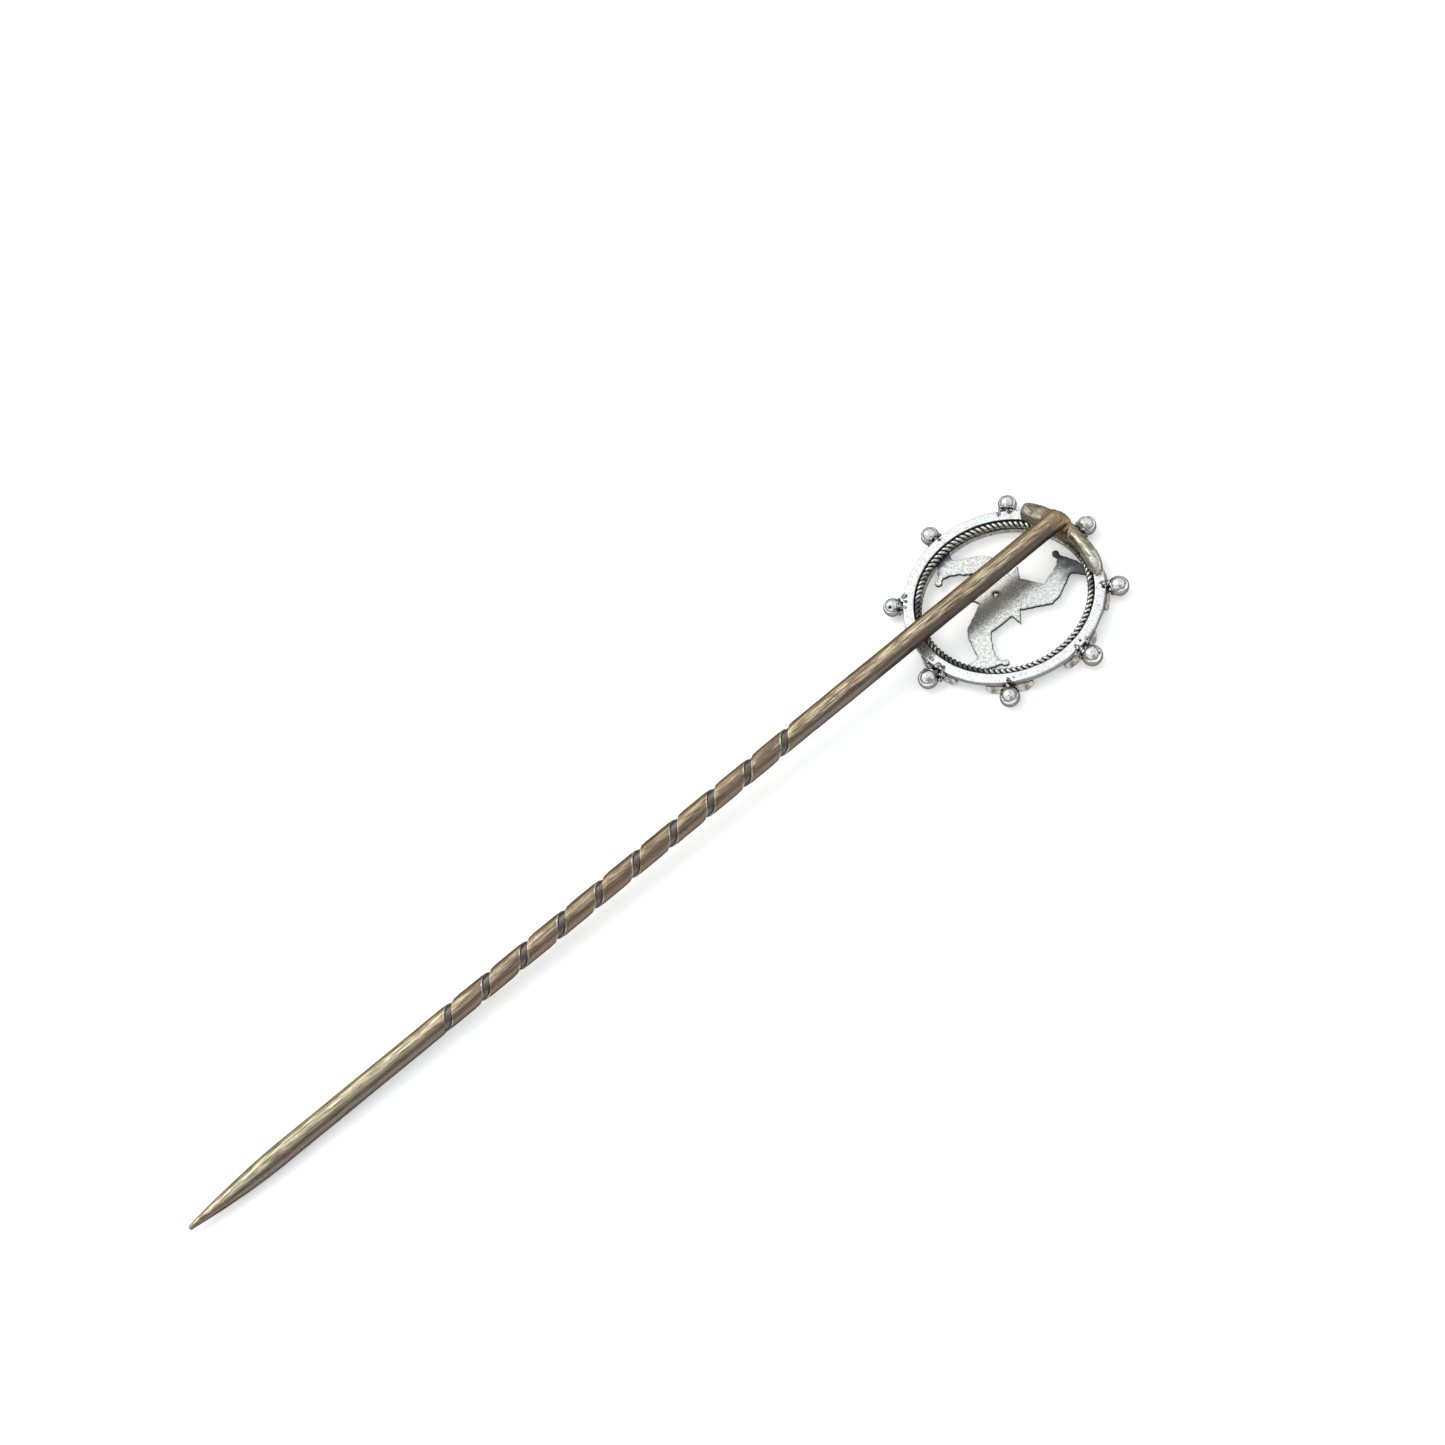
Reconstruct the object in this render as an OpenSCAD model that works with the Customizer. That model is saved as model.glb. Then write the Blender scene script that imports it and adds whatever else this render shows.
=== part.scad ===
// Hat pin lying face down: an open ring head with round beads, a rope wire and a
// three-legged badge, and a wire stem brazed to a crossbar on the head's back.
// The head's front lies on the plane z = 0, and the stem runs down to it along -X.

/* [Back ring] */
// Radius of the plate's hole
plate_inner_r = 5.25; // [4.6:0.05:6.5]
// Width of the plate's band
plate_band = 0.66; // [0.5:0.02:1.2]
// Thickness of the plate
plate_t = 0.36; // [0.25:0.01:0.5]
// Height of the head from its front to the plate's back face
head_depth = 1.05; // [0.98:0.01:1.4]

/* [Rope wire and rim] */
// Diameter over the two twisted wires
rope_d = 0.43; // [0.3:0.01:0.55]
// Depth of the rope's centre below the plate's back face
rope_sink = 0.22; // [0.2:0.01:0.32]
// Width of the front rim's band
rim_w = 0.31; // [0.25:0.01:0.8]
// Thickness of the front rim
rim_t = 0.3; // [0.2:0.01:0.36]

/* [Legs badge] */
// Thickness of the sheet, which lies on the rim with the rope wire on its toes
sheet_t = 0.22; // [0.12:0.01:0.3]
// Offset of the hub from the head's centre, along the stem
hub_x = 0.08; // [-0.3:0.02:0.3]
// Offset of the hub from the head's centre, to the stem's side
hub_y = 0.25; // [-0.3:0.01:0.3]
// Direction of the first leg's thigh
first_leg_turn = -45; // [-60:1:-30]
// Distance from the hub to the middle of each knee
thigh_len = 2.6; // [2.2:0.05:2.8]
// Half width of a thigh at the hip
hip_half = 1.05; // [0.7:0.05:1.2]
// Half width of a thigh at the knee
knee_half = 0.62; // [0.4:0.02:0.75]
// Turn of the calf from its thigh
knee_bend = 67; // [60:1:75]
// Extra turn of the third leg's calf
third_leg_slack = -16; // [-18:1:5]
// Distance from the knee to the middle of the foot
calf_len = 2.3; // [2:0.05:2.5]
// Half width of a calf at its fullest
calf_half = 0.58; // [0.4:0.02:0.75]
// Half width of an ankle
ankle_half = 0.5; // [0.35:0.02:0.6]
// Half width of a foot at its heel
heel_half = 0.36; // [0.25:0.01:0.45]
// Half width of a foot at its toe
toe_half = 0.24; // [0.2:0.01:0.4]
// Length that the foot narrows over, past the middle of the calf
toe_reach = 1.8; // [1.2:0.05:2.2]
// Reach of the heel behind the middle of the calf
heel_reach = 0.55; // [0.4:0.05:0.7]
// Radius of the round spur on a heel
spur_r = 0.22; // [0.15:0.01:0.3]
// Reach of the spur's centre behind the middle of the calf
spur_reach = 0.95; // [0.85:0.05:1.2]
// Distance from the hub to the tip of each small point
point_reach = 2.1; // [1.8:0.05:2.4]
// Half width of a small point at its root
point_half = 0.3; // [0.2:0.02:0.4]
// Side of the pierced triangle
pierce_side = 0.3; // [0.2:0.02:0.4]

/* [Beads] */
// Diameter of bead 1
bead_1_d = 1.16; // [0.9:0.01:1.22]
// Diameter of bead 2
bead_2_d = 1.12; // [0.9:0.01:1.22]
// Diameter of bead 3
bead_3_d = 1.12; // [0.9:0.01:1.22]
// Diameter of bead 4
bead_4_d = 1.1; // [0.9:0.01:1.22]
// Diameter of bead 5
bead_5_d = 1.18; // [0.9:0.01:1.22]
// Diameter of bead 6
bead_6_d = 1.18; // [0.9:0.01:1.22]
// Diameter of bead 7
bead_7_d = 1.22; // [0.9:0.01:1.22]
// Diameter of bead 8
bead_8_d = 1.18; // [0.9:0.01:1.22]
// Direction of bead 1 from the head's centre
bead_1_turn = 4; // [0:0.5:8]
// Direction of bead 2
bead_2_turn = 49; // [45:0.5:53]
// Direction of bead 3
bead_3_turn = 92.5; // [88:0.5:97]
// Direction of bead 4
bead_4_turn = 139; // [135:0.5:143]
// Direction of bead 5
bead_5_turn = 188.5; // [184:0.5:192]
// Direction of bead 6
bead_6_turn = 233; // [229:0.5:237]
// Direction of bead 7
bead_7_turn = 279.5; // [275:0.5:283]
// Direction of bead 8
bead_8_turn = 322; // [318:0.5:326]
// Gap between a bead and the ring's edge
bead_gap = 0.12; // [0.05:0.01:0.3]
// Depth of the beads' centres below the plate's back face
bead_drop = 0.41; // [0.38:0.01:0.44]
// Diameter of a bead's neck
neck_d = 0.66; // [0.4:0.02:0.8]
// Diameter of the neck's foot on the ring's edge
neck_foot_d = 0.8; // [0.6:0.02:0.8]

/* [Front tabs] */
// Width of a tab where it leaves the ring
tab_w = 2.74; // [2:0.02:3.4]
// Chamfer at each front corner of a tab
tab_chamfer = 0.32; // [0.1:0.02:0.4]

/* [Crossbar] */
// Distance of the bar's middle outside the plate's hole
bar_out = 0.11; // [0:0.01:0.4]
// Radius that the bar is bent to
bar_bend_r = 7.4; // [5.5:0.1:12]
// Width of the bar
bar_w = 1.16; // [0.9:0.02:1.2]
// Height of the bar above the plate
bar_h = 0.92; // [0.8:0.02:1.1]
// Length of the bar to the right of the head's middle
bar_right = 2.95; // [2:0.05:3.3]
// Length of the bar to the left of the head's middle
bar_left = 3.7; // [2.8:0.05:3.8]

/* [Stem] */
// Diameter of the wire
stem_d = 1.24; // [0.9:0.02:1.4]
// Distance from the head's centre to the point
point_x = 58; // [45:0.5:70]
// Offset of the stem to the side of the head's centre
stem_side = 1.06; // [0:0.02:1.4]
// Reach of the stem past the bar's middle
stem_over = 0.06; // [-0.1:0.02:0.4]
// Height of the stem's axis above the plate at the crossbar
seat_h = 1.2; // [1.1:0.02:1.4]
// Radius of the rounded point
point_r = 0.15; // [0.1:0.01:0.25]
// Length of the filed taper
taper_len = 4.4; // [3:0.1:8]
// Length of the plain part above the taper
lower_plain = 13; // [8:0.5:16]
// Number of turns of the groove
groove_turns = 10; // [6:1:12]
// Length of one turn of the groove
groove_pitch = 2.72; // [2.2:0.02:3]
// Width of the groove, along the stem
groove_w = 0.52; // [0.3:0.02:0.8]
// Direction of the groove at its start, round the stem from its underside
groove_turn = -46; // [-180:1:180]
// Depth of the groove
groove_depth = 0.12; // [0.05:0.01:0.15]

/* [Braze] */
// Radius of the filler pooled round the joint
braze_r = 0.78; // [0.74:0.02:0.9]

/* [Hidden] */
$fn = 96;

// The same eight places serve the beads, their necks and the tabs.
bead_d = [bead_1_d, bead_2_d, bead_3_d, bead_4_d, bead_5_d, bead_6_d, bead_7_d, bead_8_d];
bead_turn = [
    bead_1_turn, bead_2_turn, bead_3_turn, bead_4_turn,
    bead_5_turn, bead_6_turn, bead_7_turn, bead_8_turn
];

// Ring radii and heights, all from the plate.
plate_outer_r = plate_inner_r + plate_band;
tab_h = head_depth - plate_t;
rim_inner_r = plate_inner_r - rim_w;
bar_middle = plate_inner_r + bar_out;
rope_r = plate_inner_r - rope_d / 2;
rope_z = head_depth - rope_sink;
sheet_z = rope_z - rope_d / 2 - sheet_t;
rim_z = sheet_z - rim_t;
bead_z = head_depth - bead_drop;

// The stem's line: it lies on the table at the shoulder of its taper, and climbs from
// there to its seat on the crossbar. settle() closes in on that slope.
seat_x = bar_middle;
seat_z = head_depth + seat_h;
seat_run = seat_x + point_x;
function settle(slope, tries) =
    tries == 0
        ? slope
        : settle(atan((seat_z + taper_len * sin(slope) - stem_d / 2 * cos(slope)) / seat_run), tries - 1);
stem_slope = settle(0, 6);
point_z = seat_z - seat_run * tan(stem_slope);
stem_len = seat_run / cos(stem_slope) + stem_over;
groove_start = taper_len + lower_plain;
groove_len = groove_turns * groove_pitch;
upper_plain = stem_len - groove_start - groove_len;

// Directions of the centres of the bar's round ends, from the centre that it bends about.
bar_right_turn = -asin((bar_right - bar_w / 2) / bar_bend_r);
bar_left_turn = asin((bar_left - bar_w / 2) / bar_bend_r);

// Shape of the grooved wire: sides of its outline and cuts along each turn.
wire_sides = 20;
cuts_per_turn = 14;
// The grooved length runs this far into the plain wire at each end.
splice = 0.04;
// The grooved wire is this much slimmer, so the two never share a face.
splice_ease = 0.004;

// Cutting bodies reach this far past what they cut.
past = 1;
// Width of the blunt tip of each small point.
crest = 0.04;
// The pierced mark's place from the hub.
pierce_at = [-0.21, 0.42];
// Each small point stands this far round from its thigh.
point_lead = -52;
// The spur stands out of the sole side of the heel.
spur_side = heel_half - spur_r / 2;

// Furthest reach of the object each way, for the origin at the middle of its footprint.
function bead_out(i) = plate_outer_r + bead_gap + bead_d[i] / 2;
beads = [0 : 7];
right_end = max([for (i = beads) bead_out(i) * cos(bead_turn[i]) + bead_d[i] / 2]);
left_end = -point_x - point_r;
back_end = max([for (i = beads) bead_out(i) * sin(bead_turn[i]) + bead_d[i] / 2]);
front_end = min([for (i = beads) bead_out(i) * sin(bead_turn[i]) - bead_d[i] / 2]);
centre_x = (right_end + left_end) / 2;
centre_y = (back_end + front_end) / 2;

module place() {
    translate([-centre_x, -centre_y, 0]) children();
}

module annulus(inner_r, outer_r, z, h) {
    translate([0, 0, z])
        rotate_extrude()
            translate([inner_r, 0])
                square([outer_r - inner_r, h]);
}

// Moves children from the point of the stem onto its sloping line, with +Z up the stem.
module along_stem() {
    translate([-point_x, stem_side, point_z])
        rotate([0, 90 - stem_slope, 0])
            children();
}

// Outline of the grooved wire, with one flat-bottomed notch.
module groove_outline() {
    r = stem_d / 2 - splice_ease;
    half = 180 * groove_w / groove_pitch;
    step = (360 - 2 * half) / wire_sides;
    floor_r = r - groove_depth;
    rim_points = [for (i = [0 : wire_sides]) r * [cos(half + i * step), sin(half + i * step)]];
    floor_points = [
        for (a = [-half, -half / 3, half / 3, half]) floor_r * [cos(a), sin(a)]
    ];
    polygon(concat(rim_points, floor_points));
}

module grooved_wire() {
    translate([0, 0, groove_start - splice])
        rotate([0, 0, groove_turn])
            linear_extrude(
                height = groove_len + 2 * splice,
                twist = 360 * groove_turns,
                slices = groove_turns * cuts_per_turn,
                $fn = wire_sides
            )
                groove_outline();
}

module plain_wire() {
    sphere(r = point_r);
    cylinder(h = taper_len, r1 = point_r, r2 = stem_d / 2);
    translate([0, 0, taper_len])
        cylinder(h = lower_plain, d = stem_d);
    translate([0, 0, groove_start + groove_len])
        cylinder(h = upper_plain, d = stem_d);
}

// The wire rides over the crossbar, which is filed to seat it.
module pin_stem() {
    color([0.62, 0.52, 0.34])
        place()
            along_stem() {
                plain_wire();
                grooved_wire();
            }
}

// Section of the crossbar: a flat seat, upright sides and a round top.
module bar_section() {
    side_h = bar_h - bar_w / 2;
    translate([-bar_w / 2, 0])
        square([bar_w, side_h]);
    translate([0, side_h])
        intersection() {
            circle(d = bar_w);
            translate([-bar_w, 0])
                square([2 * bar_w, bar_w]);
        }
}

module bar_end() {
    side_h = bar_h - bar_w / 2;
    cylinder(h = side_h, d = bar_w);
    translate([0, 0, side_h])
        intersection() {
            sphere(d = bar_w);
            translate([-bar_w, -bar_w, 0])
                cube(2 * bar_w);
        }
}

module bar_blank() {
    translate([bar_middle - bar_bend_r, 0, head_depth]) {
        rotate([0, 0, bar_right_turn])
            rotate_extrude(angle = bar_left_turn - bar_right_turn)
                translate([bar_bend_r, 0])
                    bar_section();
        for (turn = [bar_right_turn, bar_left_turn])
            rotate([0, 0, turn])
                translate([bar_bend_r, 0, 0])
                    bar_end();
    }
}

// The bore of this cutter is the seat that the wire lies in.
module stem_seat() {
    along_stem()
        translate([0, 0, groove_start + groove_len])
            cylinder(h = upper_plain + bar_w, d = stem_d);
}

module crossbar() {
    color([0.55, 0.52, 0.4])
        place()
            difference() {
                bar_blank();
                stem_seat();
            }
}

module braze_fillet() {
    color([0.72, 0.47, 0.3])
        place()
            difference() {
                intersection() {
                    translate([seat_x, stem_side, seat_z])
                        sphere(r = braze_r);
                    translate([seat_x - braze_r, stem_side - braze_r, head_depth])
                        cube([2 * braze_r, 2 * braze_r, seat_h]);
                }
                bar_blank();
                stem_seat();
            }
}

module back_ring() {
    color([0.86, 0.87, 0.88])
        place()
            annulus(plate_inner_r, plate_outer_r, tab_h, plate_t);
}

module rope_wire() {
    color([0.4, 0.4, 0.4])
        place()
            translate([0, 0, rope_z])
                rotate_extrude()
                    translate([rope_r, 0])
                        circle(d = rope_d);
}

module front_rim() {
    color([0.66, 0.66, 0.66])
        place()
            annulus(rim_inner_r, plate_inner_r, rim_z, rim_t);
}

// Outline of one leg from the hub outwards, with its thigh along +X.
module leg_outline(slack) {
    polygon([
        [0, -hip_half],
        [hip_half, -hip_half],
        [thigh_len, -knee_half],
        [thigh_len, knee_half],
        [hip_half, hip_half],
        [0, hip_half]
    ]);
    translate([thigh_len, 0]) {
        circle(r = knee_half);
        rotate(knee_bend + slack)
            lower_leg_outline();
    }
}

// Calf, foot and spur, with the knee at the origin and the calf along +X.
module lower_leg_outline() {
    polygon([
        [0, -knee_half],
        [calf_len, -ankle_half],
        [calf_len, ankle_half],
        [calf_len / 2, calf_half],
        [0, knee_half]
    ]);
    translate([calf_len, 0])
        rotate(-90)
            foot_outline();
}

// Foot with its middle at the origin, the toe along +X and the sole towards +Y. The toe runs
// on past the rope wire, where the badge is cut round.
module foot_outline() {
    polygon([
        [-heel_reach, -heel_half],
        [0, -heel_half],
        [toe_reach, -toe_half],
        [plate_inner_r, -toe_half],
        [plate_inner_r, toe_half],
        [toe_reach, toe_half],
        [-heel_reach, heel_half]
    ]);
    translate([-spur_reach, spur_side - spur_r / 2])
        square([spur_reach, spur_r]);
    translate([-spur_reach, spur_side])
        circle(r = spur_r);
}

// One small point between two thighs, along +X.
module small_point() {
    polygon([
        [hip_half / 2, -point_half],
        [point_reach, -crest / 2],
        [point_reach, crest / 2],
        [hip_half / 2, point_half]
    ]);
}

module badge_outline() {
    slacks = [0, 0, third_leg_slack];
    for (i = [0 : 2])
        rotate(first_leg_turn + i * 120) {
            leg_outline(slacks[i]);
            rotate(point_lead)
                small_point();
        }
}

// The toes run under the rope wire as far as the plate's hole.
module legs_plate() {
    color([0.74, 0.75, 0.76])
        place()
            translate([0, 0, sheet_z])
                linear_extrude(height = sheet_t)
                    intersection() {
                        translate([hub_x, hub_y])
                            difference() {
                                badge_outline();
                                translate(pierce_at)
                                    rotate(90)
                                        circle(d = pierce_side * 2 / sqrt(3), $fn = 3);
                            }
                        circle(r = rope_r);
                    }
}

module bead(i) {
    color([0.82, 0.82, 0.82])
        place()
            rotate([0, 0, bead_turn[i]])
                translate([bead_out(i), 0, bead_z])
                    sphere(d = bead_d[i]);
}

// A neck runs from the ring's edge into the bead, and is cut to both.
module bead_neck(i) {
    color([0.6, 0.6, 0.6])
        place()
            rotate([0, 0, bead_turn[i]])
                difference() {
                    translate([0, 0, bead_z])
                        rotate([0, 90, 0]) {
                            cylinder(h = bead_out(i), d = neck_d);
                            cylinder(h = plate_outer_r + bead_gap, d = neck_foot_d);
                        }
                    translate([0, 0, -past])
                        cylinder(h = head_depth + 2 * past, r = plate_outer_r);
                    translate([bead_out(i), 0, bead_z])
                        sphere(d = bead_d[i]);
                }
}

// A tab is the piece of the ring's wall inside a chamfered outline seen from the side.
module front_tab(i) {
    half = tab_w / 2;
    color([0.75, 0.72, 0.7])
        place()
            intersection() {
                annulus(plate_inner_r, plate_outer_r, 0, tab_h);
                rotate([90, 0, bead_turn[i] + 90])
                    linear_extrude(height = plate_outer_r + past)
                        polygon([
                            [-half + tab_chamfer, 0],
                            [half - tab_chamfer, 0],
                            [half, tab_chamfer],
                            [half, tab_h],
                            [-half, tab_h],
                            [-half, tab_chamfer]
                        ]);
            }
}

pin_stem();
crossbar();
braze_fillet();
back_ring();
rope_wire();
front_rim();
legs_plate();
bead(0);  // bead_1
bead(1);  // bead_2
bead(2);  // bead_3
bead(3);  // bead_4
bead(4);  // bead_5
bead(5);  // bead_6
bead(6);  // bead_7
bead(7);  // bead_8
bead_neck(0);  // bead_neck_1
bead_neck(1);  // bead_neck_2
bead_neck(2);  // bead_neck_3
bead_neck(3);  // bead_neck_4
bead_neck(4);  // bead_neck_5
bead_neck(5);  // bead_neck_6
bead_neck(6);  // bead_neck_7
bead_neck(7);  // bead_neck_8
front_tab(0);  // front_tab_1
front_tab(1);  // front_tab_2
front_tab(2);  // front_tab_3
front_tab(3);  // front_tab_4
front_tab(4);  // front_tab_5
front_tab(5);  // front_tab_6
front_tab(6);  // front_tab_7
front_tab(7);  // front_tab_8
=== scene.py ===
"""A silver-headed hat pin lying face down on a pale table, built round its CAD frame."""

import logging
import math
from dataclasses import dataclass, field
from enum import Enum
from typing import ClassVar

import bpy
import numpy as np
from mathutils import Matrix, Vector
from mathutils.geometry import delaunay_2d_cdt


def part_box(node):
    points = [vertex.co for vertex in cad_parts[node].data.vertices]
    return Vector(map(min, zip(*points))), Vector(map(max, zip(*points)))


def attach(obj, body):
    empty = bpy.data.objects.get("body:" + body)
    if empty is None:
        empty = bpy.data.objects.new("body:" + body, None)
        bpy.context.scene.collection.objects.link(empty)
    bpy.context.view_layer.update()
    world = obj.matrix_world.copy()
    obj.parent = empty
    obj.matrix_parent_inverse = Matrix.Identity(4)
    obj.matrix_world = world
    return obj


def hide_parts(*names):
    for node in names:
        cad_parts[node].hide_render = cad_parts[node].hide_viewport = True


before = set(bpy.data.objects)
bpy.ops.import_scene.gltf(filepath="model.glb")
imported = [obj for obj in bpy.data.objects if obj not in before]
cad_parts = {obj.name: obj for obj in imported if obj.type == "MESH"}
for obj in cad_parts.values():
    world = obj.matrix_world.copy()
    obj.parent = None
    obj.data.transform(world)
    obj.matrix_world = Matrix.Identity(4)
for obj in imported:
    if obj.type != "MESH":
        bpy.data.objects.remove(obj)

LOG = logging.getLogger("hat_pin")
MM = 0.001
SEED = 31
TAU = 2 * math.pi
WAVES = 9
ACROSS = np.array((0.0, 1.0, 0.0))
UP = np.array((0.0, 0.0, 1.0))
BODY = "root"
BEADS = range(1, 9)

Points = np.ndarray
Faces = list[tuple[int, ...]]
Three = tuple[float, float, float]
Socket = bpy.types.NodeSocket


class Places:
    """Where the CAD nodes are, in millimetres about the head's middle, with z up from the table."""

    def __init__(self) -> None:
        """Reads the middle of the head from the back ring's box."""
        low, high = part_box("back_ring")
        self.origin = Vector(((low.x + high.x) / 2, (low.y + high.y) / 2, 0.0))

    def box(self, node: str) -> tuple[Points, Points]:
        """Gives a node's lowest and highest corner, in millimetres about the middle of the head."""
        low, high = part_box(node)
        return np.array((low - self.origin) / MM), np.array((high - self.origin) / MM)

    def row(self, points: Points) -> Points:
        """Turns millimetres about the middle of the head into metres in the row frame."""
        return np.asarray(points, float) * MM + np.array(self.origin)


def smooth_step(value: Points | float, start: float, end: float) -> Points:
    """Eases from 0 where the value is start to 1 where it is end."""
    share = np.clip((np.asarray(value, float) - start) / (end - start), 0, 1)
    return share * share * (3 - 2 * share)


def reach_of(points: Points) -> Points:
    """Gives how far each place is from the head's axis."""
    return np.hypot(points[:, 0], points[:, 1])


def between(value: Points | float, start: float, end: float, fade: float) -> Points:
    """Gives 1 from start to end and 0 outside, eased over a fade within them."""
    return smooth_step(value, start, start + fade) * (1 - smooth_step(value, end - fade, end))


def ripple(part: int, length: float, points: Points) -> Points:
    """Gives soft unevenness, the sum of a few waves in drawn directions.

    Args:
        part: which pattern, counted from the seed.
        length: how long the waves are, in millimetres.
        points: places in millimetres.

    Returns:
        One value for each place, mostly within -1 to 1.
    """
    draw = np.random.default_rng(SEED + part)
    total = np.zeros(len(points))
    for _ in range(WAVES):
        way = draw.normal(size=3)
        way *= draw.uniform(0.6, 1.7) * TAU / length / np.linalg.norm(way)
        total += np.sin(points @ way + draw.uniform(0, TAU))
    return total / math.sqrt(WAVES)


def hoop(turn: Points, side: Points, up: Points, wide: float = 1.0, high: float = 1.0) -> Points:
    """Gives places on an oval at those angles, from its side towards its top, about its middle."""
    return np.outer(np.cos(turn), side) * wide + np.outer(np.sin(turn), up) * high


def placed(name: str, data: bpy.types.ID) -> bpy.types.Object:
    """Makes an object of that data, linked to the scene."""
    made = bpy.data.objects.new(name, data)
    bpy.context.scene.collection.objects.link(made)
    return made


def paint(mesh: bpy.types.Mesh, masks: dict[str, Points]) -> None:
    """Writes shading masks onto a mesh, one value to a point."""
    for key, values in masks.items():
        layer = mesh.attributes.new(key, "FLOAT", "POINT")
        layer.data.foreach_set("value", np.asarray(values, np.float32))


@dataclass
class Skin:
    """Points and faces of one or more closed shells, in millimetres, with shading masks."""

    points: Points = field(default_factory=lambda: np.zeros((0, 3)))
    faces: Faces = field(default_factory=list)
    masks: dict[str, Points] = field(default_factory=dict)

    def add(self, points: Points, faces: Faces) -> None:
        """Adds one closed shell.

        Args:
            points: its points.
            faces: its faces, counted from its own first point.
        """
        start = len(self.points)
        self.points = np.vstack([self.points, points])
        self.faces += [tuple(i + start for i in f) for f in faces]

    def obj(self, name: str, places: Places, crease: float = 40.0) -> bpy.types.Object:
        """Makes the mesh object.

        Args:
            name: the piece's name.
            places: turns millimetres into the row frame.
            crease: edges sharper than this angle in degrees aren't smoothed.

        Returns:
            The object, linked to the scene.
        """
        mesh = bpy.data.meshes.new(name)
        mesh.from_pydata(places.row(self.points).tolist(), [], self.faces)
        mesh.polygons.foreach_set("use_smooth", [True] * len(mesh.polygons))
        paint(mesh, self.masks)
        mesh.update()
        mesh.set_sharp_from_angle(angle=math.radians(crease))
        return placed(name, mesh)


def tube_faces(rings: int, sides: int, closed: bool = False) -> Faces:
    """Gives the faces of a tube.

    Args:
        rings: how many rings of points it has.
        sides: how many points a ring has.
        closed: True if the last ring joins the first, otherwise both ends are capped.

    Returns:
        The faces, for points given ring by ring.
    """
    faces: Faces = []
    for i in range(rings if closed else rings - 1):
        a, b = i * sides, (i + 1) % rings * sides
        for j in range(sides):
            k = (j + 1) % sides
            faces.append((a + j, a + k, b + k, b + j))
    if not closed:
        faces.append(tuple(reversed(range(sides))))
        faces.append(tuple(range((rings - 1) * sides, rings * sides)))
    return faces


def lathe(profile: Points, steps: int) -> tuple[Points, Faces]:
    """Turns a closed profile about the head's axis.

    Args:
        profile: (radius, height) pairs in order round the section.
        steps: how many places round the ring.

    Returns:
        The points and faces of a closed ring.
    """
    turn = np.linspace(0, TAU, steps, endpoint=False)
    radius, height = profile.T
    along, across = np.outer(np.cos(turn), radius), np.outer(np.sin(turn), radius)
    points = np.stack((along, across, np.outer(np.ones(steps), height)), axis=-1).reshape(-1, 3)
    return points, tube_faces(steps, len(profile), closed=True)


def soft_box(r0: float, r1: float, z0: float, z1: float, edge: float, fine: int = 4) -> Points:
    """Gives a rectangle with rounded corners as a lathe profile.

    Args:
        r0: inner radius.
        r1: outer radius.
        z0: lower height.
        z1: upper height.
        edge: radius of the corners.
        fine: steps in each corner and along each side.

    Returns:
        (radius, height) pairs in order.
    """
    rows = []
    for radius, height, start in ((r1, z0, -90), (r1, z1, 0), (r0, z1, 90), (r0, z0, 180)):
        mid_r = radius - math.copysign(edge, radius - (r0 + r1) / 2)
        mid_z = height - math.copysign(edge, height - (z0 + z1) / 2)
        for k in range(fine + 1):
            turn = math.radians(start + 90 * k / fine)
            rows.append((mid_r + edge * math.cos(turn), mid_z + edge * math.sin(turn)))
    found = []
    for i, (a, b) in enumerate(zip(rows, rows[1:] + rows[:1])):
        found.append(a)
        if i % (fine + 1) == fine:
            shares = [k / fine for k in range(1, fine)]
            found += [(a[0] + (b[0] - a[0]) * t, a[1] + (b[1] - a[1]) * t) for t in shares]
    return np.array(found)


def ball(level: int) -> tuple[Points, Faces]:
    """Gives a ball of radius 1 made of even triangles.

    Args:
        level: how many times the twenty triangles are split.

    Returns:
        Its points and faces.
    """
    g = (1 + math.sqrt(5)) / 2
    points = [(-1, g, 0), (1, g, 0), (-1, -g, 0), (1, -g, 0), (0, -1, g), (0, 1, g)]
    points += [(0, -1, -g), (0, 1, -g), (g, 0, -1), (g, 0, 1), (-g, 0, -1), (-g, 0, 1)]
    faces: Faces = [(0, 11, 5), (0, 5, 1), (0, 1, 7), (0, 7, 10), (0, 10, 11)]
    faces += [(1, 5, 9), (5, 11, 4), (11, 10, 2), (10, 7, 6), (7, 1, 8)]
    faces += [(3, 9, 4), (3, 4, 2), (3, 2, 6), (3, 6, 8), (3, 8, 9)]
    faces += [(4, 9, 5), (2, 4, 11), (6, 2, 10), (8, 6, 7), (9, 8, 1)]
    rows = [np.array(p, float) / np.linalg.norm(p) for p in points]
    for _ in range(level):
        middles: dict[tuple[int, int], int] = {}

        def middle(a: int, b: int) -> int:
            """Gives the point halfway between two, made once."""
            key = (min(a, b), max(a, b))
            if key not in middles:
                mid = rows[a] + rows[b]
                rows.append(mid / np.linalg.norm(mid))
                middles[key] = len(rows) - 1
            return middles[key]

        split: Faces = []
        for a, b, c in faces:
            ab, bc, ca = middle(a, b), middle(b, c), middle(c, a)
            split += [(a, ab, ca), (b, bc, ab), (c, ca, bc), (ab, bc, ca)]
        faces = split
    return np.array(rows), faces


class Grain(Enum):
    """Which way a finish's marks run."""

    EVEN = (1.0, 1.0, 1.0)
    ALONG_STEM = (0.07, 1.0, 1.0)
    ALONG_BAR = (1.0, 0.16, 1.0)


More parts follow.
